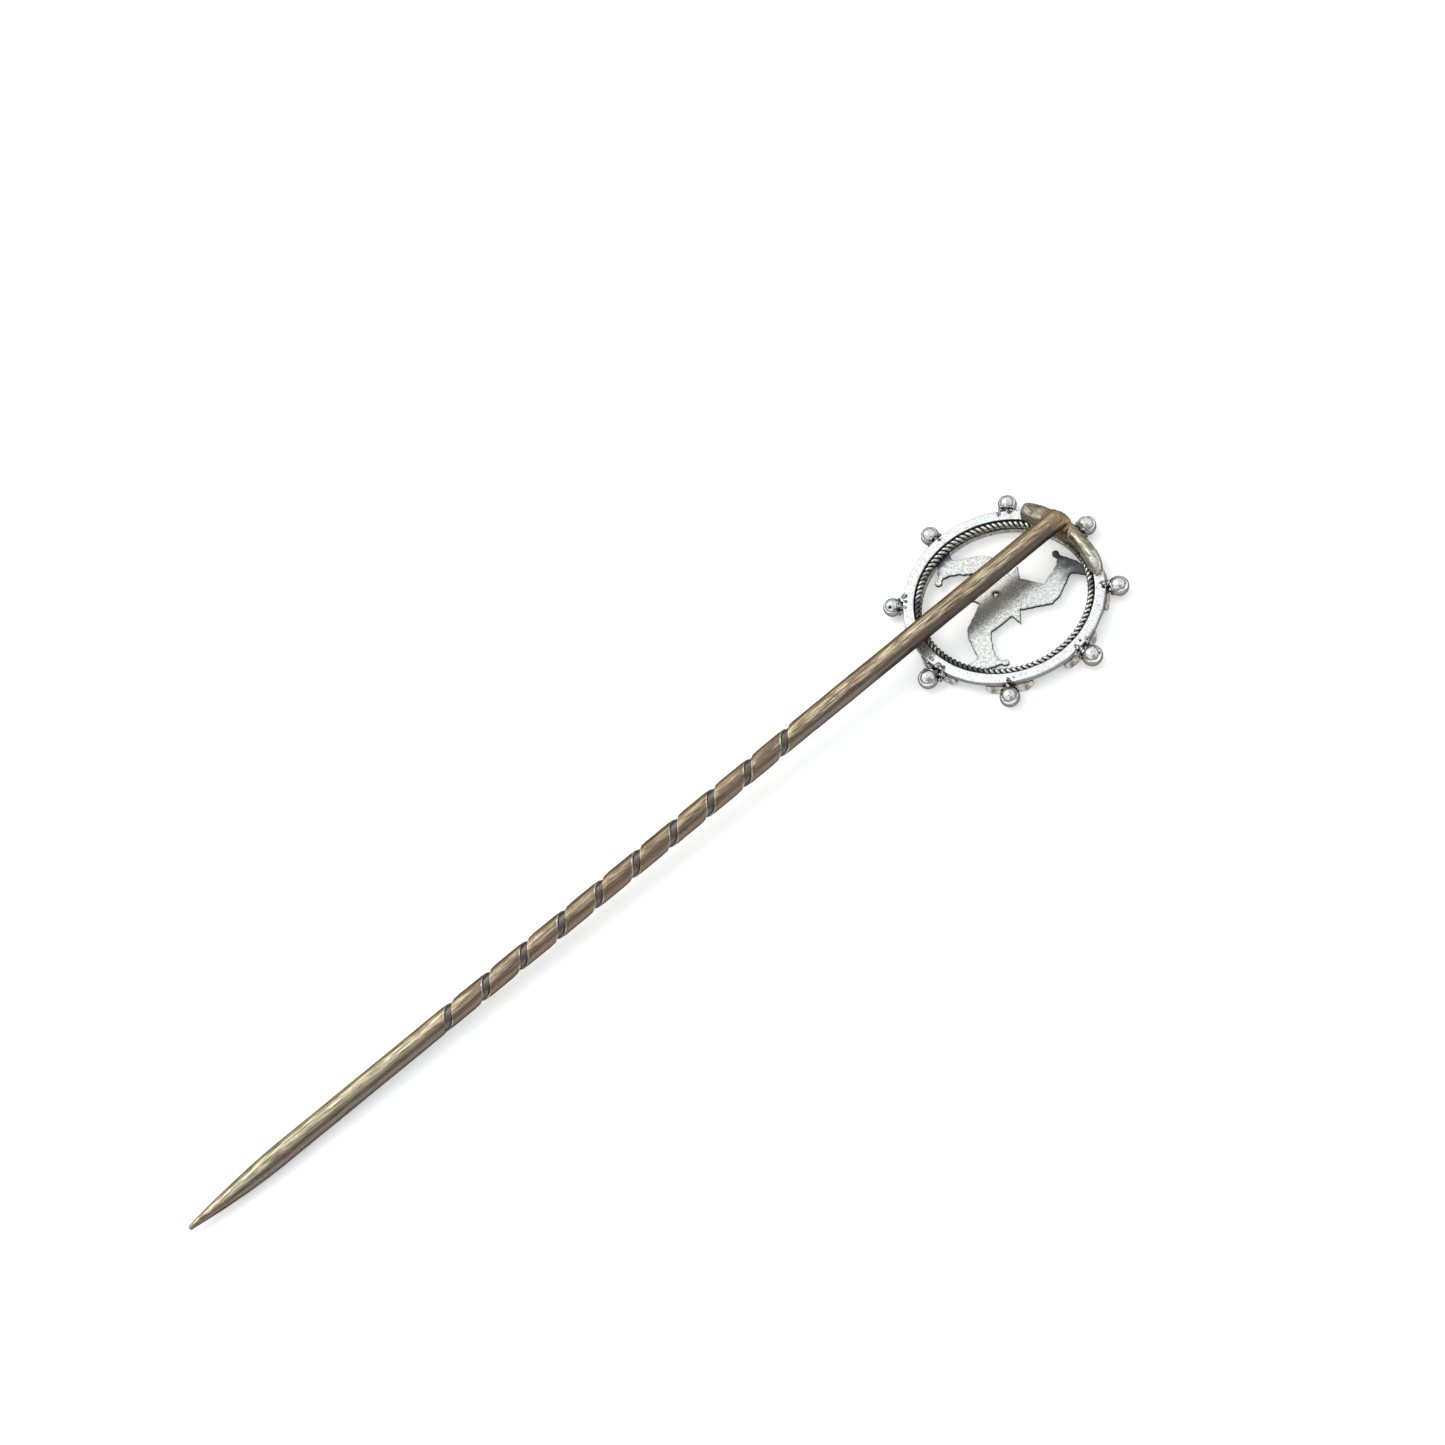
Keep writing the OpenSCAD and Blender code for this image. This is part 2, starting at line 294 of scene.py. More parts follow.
@dataclass(frozen=True)
class Metal:
    """A worn metal: two tones, dark specks, uneven gloss, fine relief, marks with a grain whose bright
    lines are partly a painted highlight, and painted shade in its crevices.
    """

    name: str
    tone: Three
    second: Three
    dark: Three
    roughness: tuple[float, float]
    grain: Grain = Grain.EVEN
    patch: float = 0.8
    specks: float = 0.1
    speck_size: float = 0.12
    relief: float = 0.25
    relief_size: float = 0.08
    scratch_and_glint: float = 0.0
    masks: tuple[tuple[str, Three, float], ...] = ()
    crevice_shade_and_oxide: float = 0.0
    crevice_size: float = 0.22
    edge: float = 0.3
    matte: float = 0.0
    lit: str = ""
    line_and_glint_tint: Three = (0.8, 0.8, 0.8)
    slot: str = ""

    def build(self) -> bpy.types.Material:
        """Makes the node material.

        Returns:
            The material, ready for any piece.
        """
        tree = Tree(self.name)
        place = tree.add("ShaderNodeTexCoord").outputs["Object"]
        grain, flat = tree.scaled(place, self.grain), tree.scaled(place, Grain.EVEN)

        patches = tree.noise(grain, 1 / self.patch, 4.0, 0.6)
        colour = tree.ramp(patches, [(0.36, self.tone), (0.64, self.second)])
        spots = tree.noise(flat, 1 / self.speck_size, 3.0, 0.7)
        edge = 0.34 + 0.2 * self.specks
        spot_share = tree.ramp(spots, [(edge, (1, 1, 1)), (edge + 0.07, (0, 0, 0))])
        colour = tree.mix(spot_share, colour, self.dark)
        thin = tree.ramp(spots, [(0.3, (0.7,) * 3), (0.5, (1.0,) * 3)])
        for key, tint, _ in self.masks:
            colour = tree.mix(tree.mask(key, thin), colour, tint)
        # Bright lines along the grain: scratches, painted bright as glints; with a lit mask they are a
        # painted highlight on that side only. The dull lines are darker wear.
        if self.scratch_and_glint:
            lines = tree.noise(grain, 10.0, 3.0, 0.65)
            bright = tree.ramp(lines, [(0.48, (0, 0, 0)), (0.62, (self.scratch_and_glint,) * 3)])
            if self.lit:
                bright = tree.mask(self.lit, bright)
            colour = tree.mix(bright, colour, self.line_and_glint_tint)
            dull = tree.ramp(lines, [(0.36, (0.7,) * 3), (0.48, (0, 0, 0))])
            colour = tree.mix(dull, colour, tuple(c * 0.45 for c in self.second))
        # Painted shade in hollows, darkened by ambient occlusion; on the solder it also stands for oxide
        # in its crevices.
        if self.crevice_shade_and_oxide:
            shade = tree.add("ShaderNodeAmbientOcclusion")
            shade.samples = 8
            shade.inputs["Distance"].default_value = self.crevice_size * MM
            hollow = tree.ramp(shade.outputs["AO"], [(0.3, (self.crevice_shade_and_oxide,) * 3), (0.75, (0, 0, 0))])
            colour = tree.mix(hollow, colour, self.dark)

        low, high = self.roughness
        wear = tree.noise(grain, 1.7 / self.patch, 5.0, 0.65)
        gloss = tree.ramp(wear, [(0.3, (low,) * 3), (0.7, (high,) * 3)])
        for key, _, rough in self.masks:
            gloss = tree.mix(tree.mask(key, thin), gloss, (rough,) * 3)

        fine = tree.noise(grain, 1 / self.relief_size, 4.0, 0.6)
        bump = tree.add("ShaderNodeBump")
        bump.inputs["Strength"].default_value = self.relief
        bump.inputs["Distance"].default_value = 0.02 * MM
        tree.join(fine, bump.inputs["Height"])

        shader = tree.add("ShaderNodeBsdfPrincipled")
        shader.inputs["Metallic"].default_value = 1.0 - self.matte
        shader.inputs["Specular Tint"].default_value = (self.edge,) * 3 + (1.0,)
        tree.join(colour, shader.inputs["Base Color"])
        tree.join(gloss, shader.inputs["Roughness"])
        tree.join(bump.outputs["Normal"], shader.inputs["Normal"])
        return tree.close(shader)


class Tree:
    """Builds one material's nodes."""

    def __init__(self, name: str) -> None:
        """Starts an empty node material."""
        self.material = bpy.data.materials.new(name)
        self.material.use_nodes = True
        self.nodes = self.material.node_tree.nodes
        self.nodes.clear()

    def add(self, kind: str) -> bpy.types.Node:
        """Adds a node of that kind."""
        return self.nodes.new(kind)

    def join(self, source: Socket, target: Socket) -> None:
        """Joins two sockets."""
        self.material.node_tree.links.new(source, target)

    def scaled(self, place: Socket, grain: Grain) -> Socket:
        """Gives the coordinates in millimetres, drawn out along the grain."""
        node = self.add("ShaderNodeMapping")
        node.inputs["Scale"].default_value = [s / MM for s in grain.value]
        self.join(place, node.inputs["Vector"])
        return node.outputs[0]

    def noise(self, place: Socket, scale: float, detail: float, rough: float) -> Socket:
        """Adds noise.

        Args:
            place: the coordinates that it reads.
            scale: how many blotches to a millimetre.
            detail: how many finer layers.
            rough: how strong they are.

        Returns:
            The value, about 0.3 to 0.7.
        """
        node = self.add("ShaderNodeTexNoise")
        node.inputs["Scale"].default_value = scale
        node.inputs["Detail"].default_value = detail
        node.inputs["Roughness"].default_value = rough
        self.join(place, node.inputs["Vector"])
        return node.outputs["Fac"]

    def ramp(self, value: Socket, stops: list[tuple[float, Three]]) -> Socket:
        """Adds a colour ramp.

        Args:
            value: what it reads.
            stops: two places and their colours.

        Returns:
            The colour.
        """
        node = self.add("ShaderNodeValToRGB")
        for stop, (where, colour) in zip(node.color_ramp.elements, stops):
            stop.position = where
            stop.color = (*colour, 1.0)
        self.join(value, node.inputs["Fac"])
        return node.outputs["Color"]

    def mix(self, share: Socket, under: Socket, over: Three) -> Socket:
        """Lays one colour over a pattern.

        Args:
            share: how much of it shows.
            under: the pattern.
            over: the colour laid on.

        Returns:
            The mixed colour.
        """
        node = self.add("ShaderNodeMix")
        node.data_type = "RGBA"
        self.join(share, node.inputs["Factor"])
        self.join(under, node.inputs["A"])
        node.inputs["B"].default_value = (*over, 1.0)
        return node.outputs["Result"]

    def mask(self, key: str, thin: Socket) -> Socket:
        """Reads a shading mask, broken up by a pattern.

        Args:
            key: the mask's name.
            thin: how much of it is left, from 0 to 1.

        Returns:
            How much of it shows, from 0 to 1.
        """
        share = self.add("ShaderNodeAttribute")
        share.attribute_name = key
        broken = self.add("ShaderNodeMath")
        broken.operation = "MULTIPLY"
        broken.use_clamp = True
        self.join(share.outputs["Fac"], broken.inputs[0])
        self.join(thin, broken.inputs[1])
        return broken.outputs[0]

    def close(self, shader: bpy.types.Node) -> bpy.types.Material:
        """Joins the shader to the output."""
        out = self.add("ShaderNodeOutputMaterial")
        self.join(shader.outputs[0], out.inputs["Surface"])
        return self.material


GILT = Metal(
    "gilt_brass", tone=(0.365, 0.286, 0.182), second=(0.275, 0.205, 0.138), dark=(0.1, 0.07, 0.05),
    roughness=(0.28, 0.46), grain=Grain.ALONG_STEM, patch=0.35, specks=0.04, relief=0.7,
    relief_size=0.1, scratch_and_glint=0.75,
    masks=(
        # The under mask paints shade on the wire's side away from the light.
        ("lower_end", (0.4, 0.37, 0.26), 0.42), ("under", (0.185, 0.157, 0.134), 0.36),
        ("tip", (0.26, 0.2, 0.14), 0.34), ("brown", (0.255, 0.185, 0.135), 0.46),
        ("groove", (0.15, 0.14, 0.13), 0.42), ("lip", (0.66, 0.61, 0.5), 0.25),
    ),
    # The lit mask keeps the bright streaks to the wire's upper side: a painted highlight.
    lit="lit", line_and_glint_tint=(0.92, 0.8, 0.55), edge=0.1,
)
BAR = Metal(
    "bar_brass", tone=(0.42, 0.38, 0.28), second=(0.33, 0.28, 0.2), dark=(0.07, 0.06, 0.05),
    roughness=(0.22, 0.38), grain=Grain.ALONG_BAR, patch=0.4, specks=0.1, relief=0.5, scratch_and_glint=0.3,
    masks=(
        ("pale", (0.74, 0.74, 0.64), 0.33), ("worn", (0.33, 0.29, 0.23), 0.46),
        ("mark", (0.05, 0.04, 0.03), 0.5),
    ),
    # The bar's bright lines are scratches painted bright as glints, in place of a broad highlight.
    crevice_shade_and_oxide=0.8, line_and_glint_tint=(0.82, 0.82, 0.72), edge=0.1,
)
COPPER = Metal(
    "copper_braze", tone=(0.35, 0.285, 0.19), second=(0.4, 0.275, 0.165), dark=(0.14, 0.08, 0.06),
    roughness=(0.24, 0.4), patch=0.5, specks=0.1, relief=0.4,
    masks=(("gilt", (0.31, 0.25, 0.17), 0.36), ("red", (0.29, 0.175, 0.13), 0.36)), crevice_shade_and_oxide=0.85,
)
POLISHED = Metal(
    "polished_silver", tone=(0.9, 0.92, 0.92), second=(0.8, 0.83, 0.83), dark=(0.36, 0.37, 0.38),
    roughness=(0.2, 0.34), patch=0.25, specks=0.12, speck_size=0.1, relief=0.8, relief_size=0.1,
    # The dark mask paints shade along the ring's inner wall and outer edge.
    masks=(("soot", (0.1, 0.1, 0.11), 0.4),), matte=0.12,
)
BEAD = Metal(
    "bead_silver", tone=(0.86, 0.87, 0.87), second=(0.74, 0.75, 0.75), dark=(0.25, 0.25, 0.26),
    roughness=(0.07, 0.18), patch=0.35, specks=0.1, speck_size=0.1, relief=0.35,
    # The crevice darkening, reaching 1 mm, paints shade on each bead's lower rim beside the table and
    # neck; the dark mask darkens deep pits.
    masks=(("soot", (0.02, 0.02, 0.02), 0.6),), crevice_shade_and_oxide=0.7, edge=0.0, slot="polished_silver",
    crevice_size=1.0,
)
SATIN = Metal(
    "satin_silver", tone=(0.96, 0.97, 0.96), second=(0.66, 0.67, 0.66), dark=(0.25, 0.24, 0.23),
    roughness=(0.1, 0.2), patch=0.2, specks=0.14, speck_size=0.1, relief=0.6, relief_size=0.08,
    # The dark mask paints a dark reflection on one foot and shade on a toe, the outer ends, the edges
    # and the walls; the tan patch is a warmer, rougher patch near the hub.
    masks=(("stain", (0.84, 0.79, 0.71), 0.24), ("soot", (0.045, 0.05, 0.065), 0.4)), matte=0.2,
)
OXIDE = Metal(
    "oxidised_silver", tone=(0.84, 0.84, 0.78), second=(0.6, 0.6, 0.57), dark=(0.05, 0.055, 0.06),
    roughness=(0.16, 0.3), patch=0.3, specks=0.1, speck_size=0.1,
    masks=(("soot", (0.012, 0.014, 0.02), 0.55),),
)
SOLDER = Metal(
    "silver_solder", tone=(0.8, 0.81, 0.81), second=(0.55, 0.55, 0.55), dark=(0.03, 0.03, 0.035),
    roughness=(0.16, 0.34), patch=0.2, specks=0.45, speck_size=0.12, relief=0.6,
    # The dark mask paints shade at each neck's foot and under the lumps and drops; some lumps are dark
    # all over.
    masks=(("soot", (0.02, 0.02, 0.025), 0.5),), crevice_shade_and_oxide=1.0, edge=0.0,
)
TARNISH = Metal(
    "tarnished_silver", tone=(0.97, 0.9, 0.82), second=(0.86, 0.78, 0.7), dark=(0.1, 0.085, 0.08),
    roughness=(0.22, 0.4), patch=0.4, specks=0.2, relief=0.4,
    # The dark mask paints shade along the tabs' edges, at their ends and in the punched hollows.
    masks=(("soot", (0.05, 0.045, 0.045), 0.5),), crevice_shade_and_oxide=0.35, edge=0.1, matte=0.6,
)


class Finishes:
    """Builds each finish once, under its own name."""

    def __init__(self) -> None:
        """Makes every finish's material."""
        kinds = (GILT, BAR, COPPER, POLISHED, BEAD, SATIN, OXIDE, SOLDER, TARNISH)
        self.made = {kind.name: kind.build() for kind in kinds}

    def dress(self, piece: bpy.types.Object, kind: Metal, *nodes: str) -> None:
        """Gives a piece its finish and ties it to the frame.

        Args:
            piece: the piece.
            kind: its finish.
            nodes: the CAD nodes that it stands for.
        """
        piece.data.materials.append(self.made[kind.name])
        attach(piece, BODY)
        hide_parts(*nodes)
        LOG.info("%s: %d points, %s", piece.name, len(piece.data.vertices), kind.name)


@dataclass
class Part:
    """A sub-assembly in one piece: it holds its sizes, builds its mesh and takes its finish."""

    places: Places
    finish: ClassVar[Metal]
    node: ClassVar[str]

    def build(self) -> bpy.types.Object:
        """Makes the piece."""
        raise NotImplementedError

    def dress(self, finishes: Finishes) -> None:
        """Builds the piece and gives it its finish."""
        finishes.dress(self.build(), self.finish, self.node)


@dataclass
class Stem(Part):
    """The brass wire: a filed point, a plain part, a twisted groove, and a plain upper part.

    Lengths are in millimetres and directions round the wire in degrees.
    """

    finish = GILT
    node = "pin_stem"
    radius: float = 0.62
    point_r: float = 0.15
    taper: float = 4.4
    groove_start: float = 17.4
    groove_turns: float = 10.0
    pitch: float = 2.72
    groove_first: float = -136.0
    groove_half: float = 0.215
    groove_depth: float = 0.12
    wall: float = 0.03
    lip: float = 0.05
    shoulder: float = 0.26
    run_out: float = 0.5
    step: float = 0.07
    plain_step: float = 0.3
    end_round: float = 0.3
    plain_sides: int = 16
    wobble: float = 0.006
    # The side painted in shade (the under mask), and the side of the painted highlight streaks (the lit
    # mask).
    shaded: float = 207.0
    lit: float = 98.0
    # Each flat filed on the point: its direction, its length and its bulge.
    flats: tuple[Three, ...] = ((196.0, 4.8, 0.02), (310.0, 4.6, 0.02))
    # The rest of the point is rounded off over this length.
    rounded: float = 6.6
    # Where the pale lower end, the brown twisted stretch and the dark tip fade out.
    lower_fade: tuple[float, float] = (9.0, 24.0)
    brown_fade: float = 3.0
    tip_fade: tuple[float, float] = (0.3, 3.2)

    def __post_init__(self) -> None:
        """Finds the wire's line from its box: it lies on the table at its taper's shoulder."""
        low, high = self.places.box(self.node)
        side = (low[1] + high[1]) / 2
        slope = 0.0
        for _ in range(8):
            tip_z = self.radius * math.cos(slope) - self.taper * math.sin(slope)
            end_z = high[2] - self.radius * math.cos(slope)
            tip_x = low[0] + self.point_r
            end_x = high[0] - self.radius * math.sin(slope)
            slope = math.atan((end_z - tip_z) / (end_x - tip_x))
        self.tip = np.array((tip_x, side, tip_z))
        self.length = math.hypot(end_x - tip_x, end_z - tip_z)
        self.along = np.array((math.cos(slope), 0.0, math.sin(slope)))
        self.up = np.array((-math.sin(slope), 0.0, math.cos(slope)))
        self.end = self.tip + self.along * self.length
        self.groove_end = self.groove_start + self.groove_turns * self.pitch
        self.lean = math.atan(self.pitch / (TAU * self.radius))

    def stations(self) -> Points:
        """Gives the distances from the tip at which the wire has a ring of points."""
        cap = -self.point_r * np.cos(np.linspace(0.12, math.pi / 2, 7))
        taper = np.arange(0.12, 8.0, 0.12)
        start, end = self.groove_start - self.plain_step, self.groove_end + self.plain_step
        lower = np.arange(8.0, start, self.plain_step)
        groove = np.arange(start, end, self.step)
        upper = np.arange(end, self.length - self.end_round, self.plain_step)
        dome = self.length - self.end_round * (1 - np.sin(np.linspace(0, 1.45, 9)))
        return np.concatenate([cap, taper, lower, groove, upper, dome])

    def spokes(self) -> Points:
        """Gives a ring's angles from the groove's middle, closer together at its walls."""
        per_mm = 1 / (math.sin(self.lean) * self.radius)
        near = [0.0, 0.08, self.groove_half - self.wall, self.groove_half]
        near += [self.groove_half + self.lip * k for k in (0.5, 1.0, 1.6, 2.4, 3.4, 4.6)]
        half = [d * per_mm for d in near]
        rest = np.linspace(half[-1], math.pi, self.plain_sides)[1:]
        one = np.array(half + rest.tolist())
        return np.concatenate([one, -one[-2:0:-1]])

    def groove(self, spoke: Points, share: float) -> tuple[Points, Points, Points]:
        """Gives the cut at one ring.

        Args:
            spoke: the angles from the groove's middle.
            share: how deep the groove is here, from 0 to 1.

        Returns:
            How far the surface is cut in, how much is groove floor and how much is bright lip.
        """
        across = np.abs(spoke) * self.radius * math.sin(self.lean)
        floor = 1 - smooth_step(across, self.groove_half - self.wall, self.groove_half)
        shoulder = 1 - smooth_step(across, self.groove_half, self.groove_half + self.shoulder)
        lip = smooth_step(across, self.groove_half - 0.01, self.groove_half + 0.01)
        outer = self.groove_half + self.lip, self.groove_half + 1.5 * self.lip
        lip = lip * (1 - smooth_step(across, *outer))
        cut = self.groove_depth * floor + 0.035 * shoulder * (1 - floor) - 0.016 * lip
        return cut * share, floor * share, lip * share

    def flat(self, turn: Points, z: float) -> Points:
        """Gives the wire's radius where flats are filed on its point.

        Args:
            turn: directions round the wire.
            z: distance from the tip.

        Returns:
            The radius at each direction.
        """
        ease = math.sin(math.pi / 2 * min(1.0, z / self.rounded)) ** 0.92
        radius = np.full(len(turn), self.point_r + (self.radius - self.point_r) * ease)
        for way, length, bulge in self.flats:
            t = min(1.0, max(0.0, z / length))
            least = self.point_r * 0.8
            depth = least + (self.radius - least) * (t + bulge * 4 * t * (1 - t))
            if t >= 1:
                continue
            facing = np.cos(turn - math.radians(way))
            reach = np.where(facing > 0.05, depth / np.maximum(facing, 0.05), 9.0)
            radius = np.minimum(radius, reach)
        return np.maximum(radius, min(self.point_r, self.point_r * (0.6 + z)))

    def build(self) -> bpy.types.Object:
        """Makes the wire as one swept mesh whose grid follows the groove.

        Returns:
            The piece.
        """
        spokes = self.spokes()
        ones = np.ones(len(spokes))
        start, end = self.groove_start, self.groove_end
        rows, told = [], []
        shaded, bright = hoop(np.radians((self.shaded, self.lit)), ACROSS, self.up)
        for z in self.stations():
            within = min(max(z, start), end)
            turn = math.radians(self.groove_first) - TAU * (within - start) / self.pitch + spokes
            cut, floor, lip = self.groove(spokes, float(between(z, start, end, self.run_out)))
            if z < 0:
                radius = ones * math.sqrt(max(0.0, self.point_r**2 - z * z))
            else:
                radius = self.flat(turn, z) - cut
            left = self.length - z
            if left < self.end_round:
                radius = radius * math.sqrt(max(0.0, 1 - (1 - left / self.end_round) ** 2))
            away = hoop(turn, ACROSS, self.up)
            ring = self.tip + self.along * z + away * radius[:, None]
            uneven = self.wobble * ripple(0, 3.0, ring * (0.5, 1.5, 1.5))
            uneven += self.wobble * ripple(1, 0.6, ring) * (lip + 0.5 * floor)
            ring = ring + away * (uneven * min(1.0, max(0.0, z / 2)))[:, None]
            rows.append(ring)
            wave = ripple(0, 3.0, ring * (0.3, 1.0, 1.0))
            brown = float(between(z, start, end, self.brown_fade))
            # Painted highlight streaks on the lit side.
            painted_glints = smooth_step(away @ bright + 0.05 * wave, 0.8, 0.99)
            told.append(
                (
                    floor,
                    np.clip(lip * (0.55 + 0.45 * ripple(1, 0.6, ring)), 0, 1),
                    ones * (1 - smooth_step(z, *self.lower_fade)),
                    # The under mask: painted shade on the side away from the light.
                    smooth_step(away @ shaded + 0.07 * wave, 0.08, 0.42),
                    ones * (1 - smooth_step(z, *self.tip_fade)),
                    painted_glints * (1 - floor) * (1 - 0.5 * brown),
                    ones * 0.75 * brown,
                )
            )
        skin = Skin()
        skin.add(np.vstack(rows), tube_faces(len(rows), len(spokes)))
        keys = ("groove", "lip", "lower_end", "under", "tip", "lit", "brown")
        skin.masks = {key: np.concatenate(values) for key, values in zip(keys, zip(*told))}
        skin.points[:, 2] = np.maximum(skin.points[:, 2], 0.0)
        return skin.obj("pin_wire", self.places, crease=50.0)


@dataclass
class Crossbar(Part):
    """The half-round bar, bent to follow the ring: a broad blunt left arm and a slim right arm.

    Lengths are in millimetres, and places along the bar are positive to the left.
    """

    finish = BAR
    node = "crossbar"
    bend_r: float = 7.4
    cad_half: float = 0.58
    width: float = 1.12
    height: float = 0.9
    right: float = 2.95
    left: float = 3.7
    # How far from its end each arm starts to narrow.
    right_round: float = 1.35
    left_round: float = 0.4
    rings: int = 180
    sides: int = 60
    uneven: float = 0.012
    # Scored lines: from and to along the bar, how far out, and how far they swing.
    scores: tuple[tuple[float, float, float, float], ...] = (
        (1.2, 2.6, 0.05, 0.09), (1.5, 2.1, -0.25, 0.03), (2.5, 3.4, 0.2, 0.05),
        (-2.2, -0.9, -0.15, 0.02),
    )
    # Tool marks across the left arm: place, depth and width.
    cuts: tuple[Three, ...] = ((1.9, 0.05, 0.09), (2.35, 0.035, 0.06), (3.05, 0.05, 0.08))

    def __post_init__(self) -> None:
        """Finds the bar's arc from its box."""
        low, high = self.places.box(self.node)
        self.base = low[2]
        self.middle = high[0] - self.cad_half
        self.centre = self.middle - self.bend_r

    def arm(self, way: float) -> tuple[float, float, float]:
        """Gives the bar's section at one place.

        Args:
            way: the place along the bar.

        Returns:
            Its width, its height and how square its top is.
        """
        left = max(0.0, self.right + way if way < 0 else self.left - way)
        end = min(1.0, left / (self.right_round if way < 0 else self.left_round))
        grow = math.sqrt(max(0.0, 1 - (1 - end) ** 2))
        if way < 0:
            width = (self.width - 0.1) * (0.12 + 0.88 * grow)
            return width, self.height * (0.25 + 0.75 * grow) * 0.94, 2.1
        flat = float(smooth_step(way, 0.9, 2.4))
        taper = 1 - 0.2 * float(smooth_step(way, 2.6, 3.7))
        width = (self.width + 0.12 * flat) * (0.7 + 0.3 * grow) * taper
        return width, self.height * (1 - 0.12 * flat) * (0.72 + 0.28 * grow), 2.1 + 1.1 * flat

    def section(self, way: float, grow: float = 0.0) -> Points:
        """Gives one ring of the bar.

        Args:
            way: the place along the bar.
            grow: how far the ring stands off the bar.

        Returns:
            Its points.
        """
        width, height, square = self.arm(way)
        over = self.sides * 2 // 3
        half, under = width / 2 + grow, self.sides - over
        rows = []
        for k in range(over + 1):
            turn = math.pi * k / over
            c, v = math.cos(turn), abs(math.sin(turn)) ** (2 / square)
            rows.append((math.copysign(abs(c) ** (2 / square), c) * half, v * (height + grow)))
        rows += [(-half * (1 - 2 * k / under), 0.0) for k in range(1, under)]
        turn = way / self.bend_r
        out = np.array((math.cos(turn), math.sin(turn), 0.0))
        middle = np.array((self.centre, 0.0, self.base))
        return np.array([middle + out * (self.bend_r + across) + (0, 0, up) for across, up in rows])

    def marks(self, points: Points) -> Points:
        """Tells how dark the scored lines make each place, from 0 to 1."""
        across = np.hypot(points[:, 0] - self.centre, points[:, 1]) - self.bend_r
        way = np.arctan2(points[:, 1], points[:, 0] - self.centre) * self.bend_r
        total = np.zeros(len(points))
        for start, end, middle, swing in self.scores:
            line = middle + swing * np.sin(way * 5.0)
            near = np.exp(-(((across - line) / 0.05) ** 2))
            total = np.maximum(total, between(way, start, end, 0.15) * near)
        return total

    def build(self) -> bpy.types.Object:
        """Makes the bar.

        Returns:
            The piece.
        """
        reach = np.sin(np.linspace(-math.pi / 2, math.pi / 2, self.rings))
        ways = np.where(reach < 0, reach * self.right, reach * self.left)
        points = np.vstack([self.section(float(w)) for w in ways])
        up = (points[:, 2] - self.base) / self.height
        points[:, 2] += self.uneven * ripple(5, 0.9, points) * up
        points[:, 0] += self.uneven * ripple(6, 0.7, points) * up
        for mid, depth, wide in self.cuts:
            far = np.abs(points[:, 1] - mid - 0.5 * (points[:, 0] - self.middle))
            points[:, 2] -= depth * np.exp(-((far / wide) ** 2)) * smooth_step(up, 0.55, 0.95)
        skin = Skin()
        skin.add(points, tube_faces(self.rings, self.sides))
        place = points[:, 1] + 0.3 * ripple(7, 0.8, points)
        skin.masks = {
            "pale": 1 - smooth_step(place, -1.6, -0.9),
            "worn": smooth_step(place, 0.5, 1.2),
            "mark": self.marks(points) * smooth_step(up, 0.3, 0.5),
        }
        return skin.obj("cross_bar", self.places, crease=50.0)


